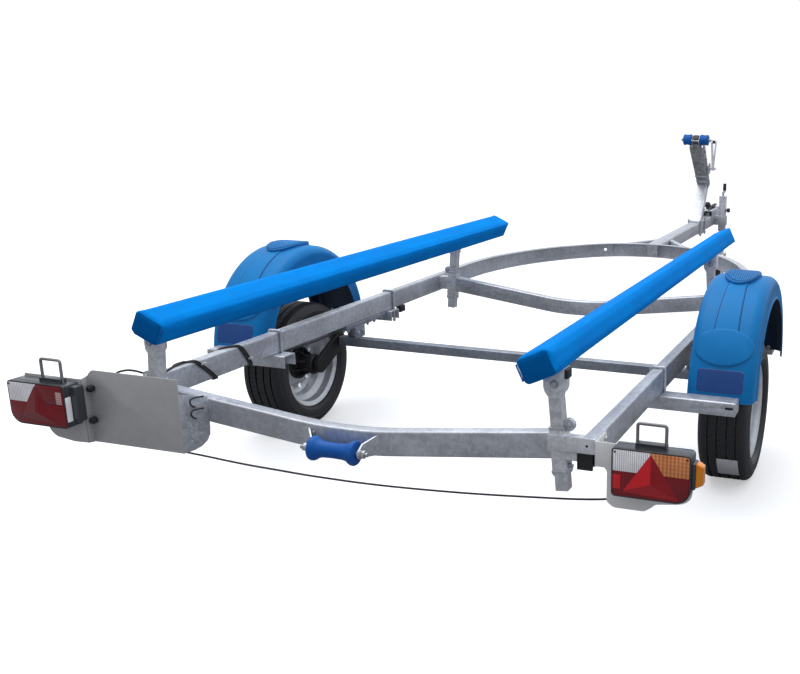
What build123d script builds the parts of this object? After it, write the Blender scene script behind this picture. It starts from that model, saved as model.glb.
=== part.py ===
from build123d import *
import math
import os

os.makedirs("parts", exist_ok=True)

# Single-axle boat trailer. Millimetres, +X right, +Y forward, +Z up.
# The origin is on the ground, below the middle of the line between the wheel centres.

# ---- Driving dimensions --------------------------------------------------------------

# Long rails and the bent front hoop
RAIL_X = 750  # middle of each rail
RAIL_WIDTH = 40
RAIL_HEIGHT = 80
RAIL_TOP = 507
RAIL_WALL = 3
RAIL_REAR = -1150
RAIL_FRONT = 1010
HOOP_BEND_Y = 1273  # where the hoop leaves the straight line of the rails
HOOP_SIDE_RADIUS = 1376
HOOP_SIDE_ANGLE = 44.25
HOOP_WALL = 4
HOOP_HOLE_RADIUS = 9
HOOP_HOLE_X = -290
SPLICE_LENGTH = 130
SPLICE_WALL = 5

# Drawbar and its two braces
DRAWBAR_WIDTH = 80
DRAWBAR_WALL = 4
DRAWBAR_FRONT = 4200
BRACE_HEIGHT = 60
BRACE_WIDTH = 30
BRACE_WALL = 4
BRACE_HOOP_X = 235
BRACE_LENGTH_Y = 310

# Cross members, dipped in the middle
CROSS_DEPTH = 44  # along the trailer
CROSS_FLAT = 90               # half of the level middle part
REAR_CROSS_HEIGHT = 76
REAR_CROSS_DIP = 64
REAR_CROSS_TOP = 512          # at its ends
FRONT_CROSS_HEIGHT = 70
FRONT_CROSS_DIP = 73
FRONT_CROSS_TOP = 500

# Axle, swing arms and wheels
WHEEL_X = RAIL_X + 198
TYRE_RADIUS = 263
TYRE_WIDTH = 186
RIM_RADIUS = 182
RIM_WIDTH = 150
RIM_WALL = 5
AXLE_SIZE = 40
AXLE_WALL = 4
AXLE_Y = 154
AXLE_Z = 337
SEAT_LENGTH = 76              # along the rail, above the beam
STRIP_REAR = 50               # strip under the rail that carries the seat
STRIP_FRONT = 385
STRIP_HEIGHT = 18
SEAT_WALL = 6
ARM_THICKNESS = 22
ARM_GAP = 5                   # arm to tyre and arm to hub
ARM_BOSS_RADIUS = 34
SPINDLE_RADIUS = 15
STUB_LENGTH = 60              # of each arm inside the beam
HUB_RADIUS = 44
HUB_FLANGE_RADIUS = 70
HUB_FLANGE_WALL = 12
RUNNING_GAP = 0.05
BOLT_CIRCLE_RADIUS = 50       # four wheel bolts

# Mudguards and the bars that hold them
GUARD_X = RAIL_X + 205
GUARD_WIDTH = 230
GUARD_RADIUS = 392
GUARD_WALL = 5
GUARD_Y = 0
GUARD_Z = 376
GUARD_LIP = 47                 # depth of the straight sides below the rounding
BAR_HEIGHT = 46
BAR_DEPTH = 70
BAR_WALL = 5
REAR_BAR_Y = -426
FRONT_BAR_Y = 426
GUARD_BOTTOM = 402
GUARD_SHOULDER = 36           # rounding along both edges of the arch
BAR_REACH = 70                # past the guard's middle
REAR_BAR_INNER = 48           # past the rail's inner side
FRONT_BAR_INNER = 20
BAR_SLOT_LENGTH = 30
BAR_SLOT_RADIUS = 5
BAR_SLOT_INSET = 21            # its middle, from the bar's outer end
BAR_SLOT_Z = 26                # and above the bar's lower edge
U_BOLT_RADIUS = 5
U_BOLT_CLEARANCE = 0.5
U_BOLT_AHEAD = 15             # of the bar's middle line

# Bunks and their posts
POST_SIZE = 36
POST_WALL = 3
POST_X = RAIL_X - 100
FRONT_POST_Y = 935
POST_BOTTOM = 343
POST_TOP = 635
POST_LEAN = 4.6                # degrees, tops inwards, square to the cross members' slope
POST_PIVOT_Z = 620            # height at which the leaning post passes POST_X
SLEEVE_WALL = 4
REAR_POST_Y = RAIL_REAR + POST_SIZE / 2 + SLEEVE_WALL  # sleeves end flush with the rails
REAR_CROSS_Y = REAR_POST_Y     # each cross member runs from sleeve to sleeve
FRONT_CROSS_Y = FRONT_POST_Y
SLEEVE_BOTTOM = 388
SLEEVE_TOP = 520
HEAD_WIDTH = {"left": 44, "right": 68}
HEAD_DEPTH = 46
HEAD_BOTTOM = 608
BUNK_WIDTH = 104
BUNK_THICKNESS = 78
BUNK_CORNER = 9
BUNK_TILT = 25  # degrees, inner edge low
BUNK_X = POST_X - 33
BUNK_Z = 704
BUNK_REAR = -1198
BUNK_FRONT = 1422
BUNK_GAP = 0.4

# Light brackets and lamps
BRACKET_WALL = 3
FLANGE_LENGTH = 90            # of each bracket along its rail's outer side
LAMP_WIDTH = 212
LAMP_HEIGHT = 134
LAMP_DEPTH = 60
LAMP_CORNER = 40
LAMP_Z = {"left": 472, "right": 447}
LAMP_INNER_X = {"left": -RAIL_X - 72, "right": RAIL_X + 82}
PANEL_Y = RAIL_REAR - 92  # rear face of the left bracket's flat panel
PANEL_INNER_X = 264 - RAIL_X
PANEL_OUTER_X = -RAIL_X - 62
PANEL_BOTTOM = 341
PANEL_TOP = 570
PANEL_STEP = 25               # the lamp's plate stands behind the panel's rear face
SIDE_TOP = 524                # top of the inner side at the panel
SIDE_FALL = 27                # how much lower its top is at the cross member
SIDE_SPLAY = 26               # how far it leans inwards on its way there
TAB_HEIGHT = 43
TAB_TOP = 507
TAB_INNER_X = RAIL_X - 117
TAB_OUTER_X = RAIL_X + RAIL_WIDTH / 2
TAB_WALL = 5
TAB_HOLE_RADIUS = 4
TAB_HOLE_X = RAIL_X - 4

# Keel roller
ROLLER_X = 0
ROLLER_Z = 397
ROLLER_RADIUS = 38
ROLLER_WAIST = 24
ROLLER_LENGTH = 150
ROLLER_PIN_RADIUS = 8
ROLLER_BACK = 50              # axis behind the cross member's rear face
EAR_WALL = 6
EAR_GAP = 5.5
EAR_SPLAY = 30

# Winch post
WINCH_Y = 3640
WINCH_POST_SIZE = 68
KNEE_Z = 771
KNEE_LEAN = 184
BOW_ROLLER_Y = 3512
BOW_ROLLER_Z = 1097
BOW_ROLLER_RADIUS = 38
BOW_ROLLER_LENGTH = 62
HEAD_WALL = 4
HEAD_DEPTH_ACROSS = 70        # depth of the tapered channel that carries the winch
HEAD_LOW_HALF = WINCH_POST_SIZE / 2 + HEAD_WALL  # half width of the channel at its foot
HEAD_TOP_HALF = 50
HEAD_START = -50              # along the head, from the knee
HEAD_END = 385
BOW_FORK_HALF = 27
DRUM_ALONG = 140
DRUM_RADIUS = 22
DRUM_FLANGE_RADIUS = 42
DRUM_OFFSET = 20              # shaft ahead of the head's middle line
SHAFT_RADIUS = 9
CRANK_X = 96
CRANK_LENGTH = 190

# Coupling and jockey wheel
BALL_SOCKET_RADIUS = 25.4
COUPLING_REAR = 3990
COUPLING_SKIRT_BOTTOM = 470
COUPLING_SKIRT_TOP = 548
COUPLING_WALL = 5
BALL_Y = 4370
COUPLING_Z = 480
JOCKEY_X = 100
JOCKEY_Y = 4110
JOCKEY_OUTER_RADIUS = 30
JOCKEY_INNER_RADIUS = 24
JOCKEY_WALL = 3
JOCKEY_TUBE_BOTTOM = 385
JOCKEY_TUBE_TOP = 652
JOCKEY_LEG_TOP = 470
JOCKEY_WHEEL_RADIUS = 100
JOCKEY_WHEEL_WIDTH = 60
JOCKEY_TRAIL = 45

# Lamp cable, hanging between the two light brackets
CABLE_RADIUS = 3
CABLE_ROUTE = [
    (-558, -1229, 385), (-556, -1225, 358), (-541, -1211, 336), (-511, -1193, 324), (-462, -1182, 316),
    (-385, -1177, 308), (-302, -1174, 302), (-214, -1170, 298), (-131, -1168, 294), (-42, -1165, 292),
    (43, -1163, 291), (131, -1160, 291.5), (214, -1157, 293.5), (301, -1154, 296.5), (384, -1152, 300.5),
    (470, -1149, 305.5), (550, -1146, 311), (628, -1144, 317), (695, -1144, 323), (752, -1143, 329.5),
    (797, -1142.5, 336), (830, -1142, 345), (852, -1141.5, 362), (857, -1141.5, 389),
]
GLAND_HALF = 8
GLAND_HEIGHT = 26
GLAND_COVER = 1               # the cable's ends are cut flush with the glands' undersides

# ---- Values worked out from the driving dimensions ------------------------------------

RAIL_BOTTOM = RAIL_TOP - RAIL_HEIGHT
RAIL_INNER = RAIL_X - RAIL_WIDTH / 2
RAIL_OUTER = RAIL_X + RAIL_WIDTH / 2
RAIL_MID_Z = RAIL_TOP - RAIL_HEIGHT / 2
SIDES = (("left", -1), ("right", 1))


def save(node, shape):
    """Writes one node; a list of solids that belong together goes in as one compound."""
    if isinstance(shape, (list, tuple)):
        shape = Compound(children=[solid for piece in shape for solid in piece.solids()])
    shape.label = node
    export_step(shape, f"parts/{node}.step")


def block(x, y, z):
    """A box from its (low, high) pairs."""
    size = [high - low for low, high in (x, y, z)]
    middle = [(high + low) / 2 for low, high in (x, y, z)]
    return Pos(*middle) * Box(*size)


def rod(start, end, radius):
    """A round bar between two points."""
    start, end = Vector(*start), Vector(*end)
    plane = Plane(origin=start, z_dir=end - start)
    return extrude(plane * Circle(radius), (end - start).length)


def tube(outer, inner):
    """A hollow piece: outer minus inner."""
    return outer - inner


def across(x0, x1, outline):
    """Extrudes an outline drawn in the YZ plane from x0 to x1."""
    return extrude(Plane(origin=(x0, 0, 0), x_dir=(0, 1, 0), z_dir=(1, 0, 0)) * outline, x1 - x0)


def turned(profile, x, y, z):
    """Turns a (radius, x offset) outline about an axle along X at the given place."""
    edge = Polyline(*[(radius, offset) for radius, offset in profile], close=True)
    solid = revolve(make_face(edge), Axis.Y)
    return Pos(x, y, z) * Rot(0, 0, -90) * solid


def side_mirror(shape, side):
    """The right-hand shape, or its mirror image for the left side."""
    return shape if side > 0 else mirror(shape, Plane.YZ)


# ---- Rails and hoop ------------------------------------------------------------------

def side_rail():
    span_y = (RAIL_REAR, RAIL_FRONT)
    outer = block((RAIL_INNER, RAIL_OUTER), span_y, (RAIL_BOTTOM, RAIL_TOP))
    inner = block((RAIL_INNER + RAIL_WALL, RAIL_OUTER - RAIL_WALL), span_y,
                  (RAIL_BOTTOM + RAIL_WALL, RAIL_TOP - RAIL_WALL))
    return tube(outer, inner)


hoop_angle = math.radians(HOOP_SIDE_ANGLE)
side_centre_x = RAIL_OUTER - HOOP_SIDE_RADIUS
front_centre_y = HOOP_BEND_Y - side_centre_x * math.tan(hoop_angle)
HOOP_FRONT_RADIUS = HOOP_SIDE_RADIUS + side_centre_x / math.cos(hoop_angle)
HOOP_FRONT = front_centre_y + HOOP_FRONT_RADIUS


def hoop_region(inset, bottom, top, rear=RAIL_FRONT):
    """The D-shaped space inside the hoop's outline, moved in by inset."""
    side_radius = HOOP_SIDE_RADIUS - inset
    front_radius = HOOP_FRONT_RADIUS - inset
    half = RAIL_OUTER - inset
    degrees_left = 90 - HOOP_SIDE_ANGLE
    right_side = CenterArc((side_centre_x, HOOP_BEND_Y), side_radius, 0, HOOP_SIDE_ANGLE)
    front = CenterArc((0, front_centre_y), front_radius, HOOP_SIDE_ANGLE, 2 * degrees_left)
    left_side = CenterArc((-side_centre_x, HOOP_BEND_Y), side_radius, 180 - HOOP_SIDE_ANGLE, HOOP_SIDE_ANGLE)
    straight = Polyline((-half, HOOP_BEND_Y), (-half, rear), (half, rear), (half, HOOP_BEND_Y))
    outline = make_face(Wire(edges=[right_side.edge(), front.edge(), left_side.edge(), *straight.edges()]))
    return extrude(Pos(0, 0, bottom) * outline, top - bottom)


def front_hoop():
    """A channel bent to a D, open to the inside, with a plate over each joint to a rail."""
    body = hoop_region(0, RAIL_BOTTOM, RAIL_TOP) - hoop_region(RAIL_WIDTH, RAIL_BOTTOM, RAIL_TOP)
    body -= hoop_region(HOOP_WALL, RAIL_BOTTOM + HOOP_WALL, RAIL_TOP - HOOP_WALL)
    angle = math.acos(HOOP_HOLE_X / HOOP_FRONT_RADIUS)
    ends = [(radius * math.cos(angle), front_centre_y + radius * math.sin(angle), RAIL_MID_Z)
            for radius in (HOOP_FRONT_RADIUS - 20, HOOP_FRONT_RADIUS + 10)]
    body -= rod(*ends, HOOP_HOLE_RADIUS)
    for _, side in SIDES:
        plate = block((RAIL_INNER - SPLICE_WALL, RAIL_INNER),
                      (RAIL_FRONT - SPLICE_LENGTH / 8, RAIL_FRONT + SPLICE_LENGTH * 7 / 8),
                      (RAIL_BOTTOM + 4, RAIL_TOP - 4))
        body += side_mirror(plate, side)
    return body


def drawbar():
    half = DRAWBAR_WIDTH / 2
    span_y = (HOOP_FRONT - 80, DRAWBAR_FRONT)
    outer = block((-half, half), span_y, (RAIL_BOTTOM, RAIL_TOP))
    inner = block((-half + DRAWBAR_WALL, half - DRAWBAR_WALL), span_y,
                  (RAIL_BOTTOM + DRAWBAR_WALL, RAIL_TOP - DRAWBAR_WALL))
    return tube(outer, inner) - hoop_region(0, RAIL_BOTTOM - 1, RAIL_TOP + 1)


def drawbar_brace():
    """A channel from the hoop's shoulder to the drawbar's side, open outwards and cut to both."""
    hoop_end = Vector(BRACE_HOOP_X, HOOP_FRONT - 60)
    bar_end = Vector(DRAWBAR_WIDTH / 2 - 20, HOOP_FRONT + BRACE_LENGTH_Y)
    along = bar_end - hoop_end
    plane = Plane(origin=hoop_end + Vector(0, 0, RAIL_MID_Z), x_dir=(0, 0, 1), z_dir=along)
    body = extrude(plane * Rectangle(BRACE_HEIGHT, BRACE_WIDTH), along.length)
    outward = -BRACE_WIDTH / 2
    hollow = Pos(0, outward) * Rectangle(BRACE_HEIGHT - 2 * BRACE_WALL, 2 * (BRACE_WIDTH - BRACE_WALL))
    body -= extrude(plane * hollow, along.length)
    body -= hoop_region(0, RAIL_BOTTOM - 1, RAIL_TOP + 1)
    return body - block((-200, DRAWBAR_WIDTH / 2), (HOOP_FRONT - 200, DRAWBAR_FRONT),
                        (RAIL_BOTTOM - 1, RAIL_TOP + 1))


# ---- Cross members --------------------------------------------------------------------

SLEEVE_HALF = POST_SIZE / 2 + SLEEVE_WALL


def leaning(y, half, low, high):
    """A square bar of the right-hand post's line, between two heights."""
    length = (high - low) / math.cos(math.radians(POST_LEAN))
    middle = (high + low) / 2 - POST_PIVOT_Z
    frame = Pos(POST_X, y, POST_PIVOT_Z) * Rot(0, -POST_LEAN, 0)
    return frame * Pos(0, 0, middle) * Box(2 * half, 2 * half, length)


def cross_member(y, height, end_top, dip):
    """A tube between the post sleeves, with its middle dipped."""
    end = POST_X

    def section(inset):
        top = end_top - inset
        low = top - height + 2 * inset
        return Polyline((-end, top), (-CROSS_FLAT, top - dip), (CROSS_FLAT, top - dip), (end, top),
                        (end, low), (CROSS_FLAT, low - dip), (-CROSS_FLAT, low - dip), (-end, low),
                        close=True)

    def solid(inset):
        plane = Plane(origin=(0, y + CROSS_DEPTH / 2 - inset, 0), x_dir=(1, 0, 0), z_dir=(0, -1, 0))
        return extrude(plane * make_face(section(inset)), CROSS_DEPTH - 2 * inset)

    body = solid(0) - solid(RAIL_WALL)
    for _, side in SIDES:
        body -= side_mirror(leaning(y, SLEEVE_HALF, SLEEVE_BOTTOM, SLEEVE_TOP), side)
    return body


# ---- Axle and wheels -------------------------------------------------------------------

AXLE_TOP = AXLE_Z + AXLE_SIZE / 2
ARM_OUTER = WHEEL_X - TYRE_WIDTH / 2 - ARM_GAP
ARM_INNER = ARM_OUTER - ARM_THICKNESS
HUB_INNER = ARM_OUTER + ARM_GAP
DISC_FACE = WHEEL_X - RIM_WALL / 2     # where the rim's disc sits on the hub
AXLE_HALF_LENGTH = ARM_INNER - 3


def axle_beam():
    """A square tube under the rails, with a seat and a strip up to each rail."""
    half = AXLE_SIZE / 2
    beam = block((-AXLE_HALF_LENGTH, AXLE_HALF_LENGTH), (AXLE_Y - half, AXLE_Y + half),
                 (AXLE_Z - half, AXLE_Z + half))
    bore = half - AXLE_WALL
    beam -= block((-AXLE_HALF_LENGTH, AXLE_HALF_LENGTH), (AXLE_Y - bore, AXLE_Y + bore),
                  (AXLE_Z - bore, AXLE_Z + bore))
    span_x = (RAIL_INNER, RAIL_OUTER)
    middle = (RAIL_INNER + SEAT_WALL, RAIL_OUTER - SEAT_WALL)
    seat_y = (AXLE_Y - SEAT_LENGTH / 2, AXLE_Y + SEAT_LENGTH / 2)
    strip_bottom = RAIL_BOTTOM - STRIP_HEIGHT
    for _, side in SIDES:
        seat = block(span_x, seat_y, (AXLE_TOP, strip_bottom))
        seat -= block(middle, seat_y, (AXLE_TOP + SEAT_WALL, strip_bottom))
        seat += block(span_x, (STRIP_REAR, STRIP_FRONT), (strip_bottom, RAIL_BOTTOM))
        beam += side_mirror(seat, side)
    return beam


def swing_arm():
    """The trailing arm, its torsion stub in the beam and the wheel's spindle."""
    pivot = Pos(AXLE_Y, AXLE_Z) * Circle(ARM_BOSS_RADIUS)
    wheel_end = Pos(0, TYRE_RADIUS) * Circle(ARM_BOSS_RADIUS)
    body = across(ARM_INNER, ARM_OUTER, make_hull([*pivot.edges(), *wheel_end.edges()]))
    stub = AXLE_SIZE / 2 - AXLE_WALL
    body += block((AXLE_HALF_LENGTH - STUB_LENGTH, ARM_INNER), (AXLE_Y - stub, AXLE_Y + stub),
                  (AXLE_Z - stub, AXLE_Z + stub))
    body += rod((ARM_OUTER, 0, TYRE_RADIUS), (DISC_FACE, 0, TYRE_RADIUS), SPINDLE_RADIUS)
    return body


def hub():
    """The hub that turns on the spindle, with the wheel's flange, closed by its grease cap."""
    bore = SPINDLE_RADIUS + RUNNING_GAP
    face = DISC_FACE - HUB_INNER
    end = face + 5
    back = face - HUB_FLANGE_WALL
    profile = [(bore, 0), (HUB_RADIUS, 0), (HUB_RADIUS, back), (HUB_FLANGE_RADIUS, back),
               (HUB_FLANGE_RADIUS, face), (32, face), (32, face + 26), (26, face + 36),
               (0, face + 36), (0, end), (bore, end)]
    return turned(profile, HUB_INNER, 0, TYRE_RADIUS)


def rim():
    """A steel rim with its centre disc bolted to the hub's face."""
    half = RIM_WIDTH / 2
    disc = -RIM_WALL / 2
    seat = RIM_RADIUS - 17
    well = RIM_RADIUS - 40
    wall = RIM_WALL
    barrel = [(RIM_RADIUS, half), (RIM_RADIUS - 2, half - 3), (seat, half - 12), (seat, 42), (well, 30),
              (well, -20), (seat, -34), (seat, -half + 12), (RIM_RADIUS - 2, -half + 3), (RIM_RADIUS, -half),
              (seat - wall, -half), (seat - wall, -38), (well - wall, -24), (well - wall, 34),
              (seat - wall, 46), (seat - wall, half)]
    disc_profile = [(36, disc), (84, disc), (108, disc + 22), (well - wall, disc + 14),
                    (well - wall, disc + 20), (106, disc + 27), (82, disc + wall), (36, disc + wall)]
    body = turned(barrel, WHEEL_X, 0, TYRE_RADIUS) + turned(disc_profile, WHEEL_X, 0, TYRE_RADIUS)
    for turn in range(4):
        angle = math.radians(45 + 90 * turn)
        y = BOLT_CIRCLE_RADIUS * math.cos(angle)
        z = TYRE_RADIUS + BOLT_CIRCLE_RADIUS * math.sin(angle)
        body += Pos(WHEEL_X + RIM_WALL / 2 + 5, y, z) * Rot(0, 90, 0) * Cylinder(11, 10)
    return body


def tyre():
    half = TYRE_WIDTH / 2
    bead = RIM_RADIUS - 17
    rim_half = RIM_WIDTH / 2 - 12
    outer = TYRE_RADIUS
    profile = [(bead, -rim_half), (RIM_RADIUS, -rim_half), (RIM_RADIUS + 8, -half + 8),
               (RIM_RADIUS + 32, -half), (outer - 20, -half + 4), (outer - 6, -half + 14), (outer, -half + 28),
               (outer, half - 28), (outer - 6, half - 14), (outer - 20, half - 4), (RIM_RADIUS + 32, half),
               (RIM_RADIUS + 8, half - 8), (RIM_RADIUS, rim_half), (bead, rim_half),
               (bead, rim_half - 14), (RIM_RADIUS + 10, rim_half - 6), (outer - 26, half - 16),
               (outer - 12, half - 34), (outer - 12, -half + 34), (outer - 26, -half + 16),
               (RIM_RADIUS + 10, -rim_half + 6), (bead, -rim_half + 14)]
    return turned(profile, WHEEL_X, 0, TYRE_RADIUS)


# ---- Mudguards --------------------------------------------------------------------------

def mudguard():
    """One moulded arch: broad on top, rounded at both edges, with straight sides and flats at its bars."""
    half, radius, wall, shoulder = GUARD_WIDTH / 2, GUARD_RADIUS, GUARD_WALL, GUARD_SHOULDER
    edge = radius - shoulder
    low_shoulder, flat = shoulder * 0.3, shoulder * 1.1
    outer = [(edge - GUARD_LIP, half), (edge, half), (radius - low_shoulder, half - low_shoulder),
             (radius - 2, half - flat * 0.8), (radius, half - flat)]
    inner = [(edge - GUARD_LIP, half - wall), (edge - 1, half - wall),
             (radius - low_shoulder - 4, half - low_shoulder - 4),
             (radius - wall - 2, half - flat * 0.8 - 2), (radius - wall, half - flat)]
    profile = [*outer, *[(r, -x) for r, x in reversed(outer)],
               *[(r, -x) for r, x in inner], *reversed(inner)]
    body = turned(profile, GUARD_X, GUARD_Y, GUARD_Z)
    body -= block((GUARD_X - 200, GUARD_X + 200), (-500, 500), (-100, GUARD_BOTTOM))
    for low, high in ((REAR_BAR_Y - BAR_DEPTH, REAR_BAR_FACE), (FRONT_BAR_FACE, FRONT_BAR_Y + BAR_DEPTH)):
        body -= block((GUARD_X - 200, GUARD_X + 200), (low, high), (GUARD_BOTTOM - 1, RAIL_BOTTOM))
    return body


REAR_BAR_FACE = REAR_BAR_Y + BAR_DEPTH / 2
FRONT_BAR_FACE = FRONT_BAR_Y - BAR_DEPTH / 2


def guard_bar(y, inner_reach):
    """A channel clamped under the rail, open below, that one foot of the guard is fixed to."""
    x0, x1 = RAIL_INNER - inner_reach, GUARD_X + BAR_REACH
    low, high = RAIL_BOTTOM - BAR_HEIGHT, RAIL_BOTTOM
    rear, front = y - BAR_DEPTH / 2, y + BAR_DEPTH / 2
    bar = block((x0, x1), (rear, front), (low, high))
    bar -= block((x0, x1), (rear + BAR_WALL, front - BAR_WALL), (low, high - BAR_WALL))
    slot = SlotOverall(BAR_SLOT_LENGTH, 2 * BAR_SLOT_RADIUS)
    bar -= extrude(Plane(origin=(x1 - BAR_SLOT_INSET, rear, low + BAR_SLOT_Z), z_dir=(0, -1, 0)) * slot, BAR_WALL, both=True)
    for x in (RAIL_INNER - U_BOLT_RADIUS, RAIL_OUTER + U_BOLT_RADIUS):
        bar -= rod((x, y + U_BOLT_AHEAD, low), (x, y + U_BOLT_AHEAD, high + 1),
                   U_BOLT_RADIUS + U_BOLT_CLEARANCE)
    return bar


def u_bolt(y):
    """A round bar bent over the rail, with its legs down through the bar at y."""
    y += U_BOLT_AHEAD
    r = U_BOLT_RADIUS
    inner, outer = RAIL_INNER - r, RAIL_OUTER + r
    low = RAIL_BOTTOM - BAR_HEIGHT
    top = RAIL_TOP + r
    shape = block((inner, outer), (y - r, y + r), (top - r, top + r))
    for x in (inner, outer):
        shape += rod((x, y, low - 12), (x, y, top), r)
        shape += Pos(x, y, top) * Sphere(r)
    return shape


# ---- Bunks and posts ------------------------------------------------------------------------

bunk_angle = math.radians(BUNK_TILT)


def bunk_plane():
    """The bunk's own plane: x across it, y down, square to its broad face."""
    return Plane(origin=(BUNK_X, BUNK_REAR, BUNK_Z), x_dir=(math.cos(bunk_angle), 0, math.sin(bunk_angle)),
                 z_dir=(0, 1, 0))


def bunk():
    outline = RectangleRounded(BUNK_WIDTH, BUNK_THICKNESS, BUNK_CORNER)
    return extrude(bunk_plane() * outline, BUNK_FRONT - BUNK_REAR)


def bunk_post(y, head_width):
    """A square tube in a clamp sleeve, with the head that its bunk is bolted to."""
    half = POST_SIZE / 2
    post = leaning(y, half, POST_BOTTOM, POST_TOP)
    wide, deep = head_width / 2, HEAD_DEPTH / 2
    head = block((POST_X - wide, POST_X + wide), (y - deep, y + deep), (HEAD_BOTTOM, BUNK_Z)) - post
    post -= leaning(y, half - POST_WALL, POST_BOTTOM - 1, POST_TOP + 1)
    rounding = Pos(POST_X, y, HEAD_BOTTOM + wide) * Rot(90, 0, 0) * Cylinder(wide, HEAD_DEPTH)
    above = block((POST_X - wide, POST_X + wide), (y - deep, y + deep), (HEAD_BOTTOM + wide, BUNK_Z))
    head &= rounding + above
    under = BUNK_THICKNESS / 2 + BUNK_GAP
    plane = bunk_plane().offset(y - deep - 1 - BUNK_REAR)
    head -= extrude(plane * Pos(0, under - 100) * Rectangle(300, 200), HEAD_DEPTH + 2)
    return post + head


def bunk_clamp(y):
    """The sleeve round a post, with its stub to the rail."""
    outer = leaning(y, SLEEVE_HALF, SLEEVE_BOTTOM, SLEEVE_TOP)
    sleeve = outer - leaning(y, POST_SIZE / 2, SLEEVE_BOTTOM - 20, SLEEVE_TOP + 20)
    stub = block((POST_X, RAIL_INNER), (y - SLEEVE_HALF, y + SLEEVE_HALF), (RAIL_BOTTOM + 10, RAIL_TOP - 7))
    return sleeve + (stub - outer)


# ---- Lights ------------------------------------------------------------------------------------

TAB_FACE = REAR_POST_Y - SLEEVE_HALF   # rear face of the sleeves and of the rails
LAMP_BACK = {"left": PANEL_Y - PANEL_STEP, "right": TAB_FACE - TAB_WALL}


def rear_tab():
    """The plate behind a rear post and the rail's end, with a hole at its outer end."""
    plate = block((TAB_INNER_X, TAB_OUTER_X), (TAB_FACE - TAB_WALL, TAB_FACE), (TAB_TOP - TAB_HEIGHT, TAB_TOP))
    hole_z = TAB_TOP - TAB_HEIGHT / 2
    return plate - rod((TAB_HOLE_X, TAB_FACE - TAB_WALL - 1, hole_z), (TAB_HOLE_X, TAB_FACE + 1, hole_z),
                       TAB_HOLE_RADIUS)


def tail_lamp(name, side):
    """The lamp housing, its lower outer corner rounded."""
    x0 = LAMP_INNER_X[name]
    x1 = x0 + side * LAMP_WIDTH
    low, high = LAMP_Z[name] - LAMP_HEIGHT / 2, LAMP_Z[name] + LAMP_HEIGHT / 2
    back = LAMP_BACK[name]
    body = block((min(x0, x1), max(x0, x1)), (back - LAMP_DEPTH, back), (low, high))
    corners = body.edges().filter_by(Axis.Y).sort_by(Axis.X)
    outer = corners[-2:] if side > 0 else corners[:2]
    lowest = min(outer, key=lambda edge: edge.center().Z)
    return fillet(lowest, LAMP_CORNER)


def light_bracket_right():
    """A stepped plate behind the lamp, with a flange on the rail's outer side."""
    back = LAMP_BACK["right"]
    top = TAB_TOP - 4
    profile = ((20, top), (288, top), (288, 356), (188, 345), (180, 336), (158, 321),
               (73, 321), (53, 335), (53, 424), (45, 432), (20, 432))
    outline = Polyline(*[(RAIL_X + x, z) for x, z in profile], close=True)
    plane = Plane(origin=(0, back + BRACKET_WALL, 0), x_dir=(1, 0, 0), z_dir=(0, -1, 0))
    plate = extrude(plane * make_face(outline), BRACKET_WALL)
    return plate + block((RAIL_OUTER, RAIL_OUTER + BRACKET_WALL), (back, RAIL_REAR + FLANGE_LENGTH),
                         (RAIL_BOTTOM + 8, top))


def light_bracket_left():
    """A folded sheet: inner side, broad panel and the lamp's plate, with an arm to the rail."""
    wall = BRACKET_WALL
    cross_face = REAR_CROSS_Y - CROSS_DEPTH / 2
    panel = block((PANEL_OUTER_X, PANEL_INNER_X), (PANEL_Y, PANEL_Y + wall), (PANEL_BOTTOM, PANEL_TOP))
    side_end = PANEL_INNER_X + SIDE_SPLAY
    footprint = Polyline((PANEL_INNER_X, PANEL_Y), (side_end, cross_face), (side_end - wall, cross_face),
                         (PANEL_INNER_X - wall, PANEL_Y), close=True)
    inner_side = extrude(Plane(origin=(0, 0, PANEL_BOTTOM)) * make_face(footprint), PANEL_TOP - PANEL_BOTTOM)
    above = Polyline((PANEL_Y - 1, PANEL_TOP + 1), (cross_face + 1, PANEL_TOP + 1),
                     (cross_face + 1, SIDE_TOP - SIDE_FALL), (PANEL_Y - 1, SIDE_TOP), close=True)
    below = Polyline((PANEL_Y + 6, PANEL_BOTTOM - 1), (cross_face + 1, PANEL_BOTTOM - 1),
                     (cross_face + 1, PANEL_BOTTOM + 22), (PANEL_Y + 34, PANEL_BOTTOM + 4), close=True)
    for cut in (above, below):
        inner_side -= across(PANEL_INNER_X - wall - 1, side_end + 1, make_face(cut))
    back = LAMP_BACK["left"]
    x0 = LAMP_INNER_X["left"]
    low = LAMP_Z["left"] - LAMP_HEIGHT / 2
    step = block((PANEL_OUTER_X - wall, PANEL_OUTER_X), (back, PANEL_Y + wall), (PANEL_BOTTOM, PANEL_TOP - 24))
    plate = block((x0 - LAMP_WIDTH, PANEL_OUTER_X), (back, back + wall), (low - 18, PANEL_TOP - 24))
    arm = block((-RAIL_OUTER - wall, -RAIL_OUTER), (PANEL_Y, RAIL_REAR + FLANGE_LENGTH), (RAIL_BOTTOM + 8, TAB_TOP))
    return panel + inner_side + step + plate + arm


def cable_gland(end, y0, y1):
    """The black block on a bracket that the cable comes down out of."""
    x, _, z = end
    low = z - GLAND_COVER
    return block((x - GLAND_HALF, x + GLAND_HALF), (y0, y1), (low, low + GLAND_HEIGHT))


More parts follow.
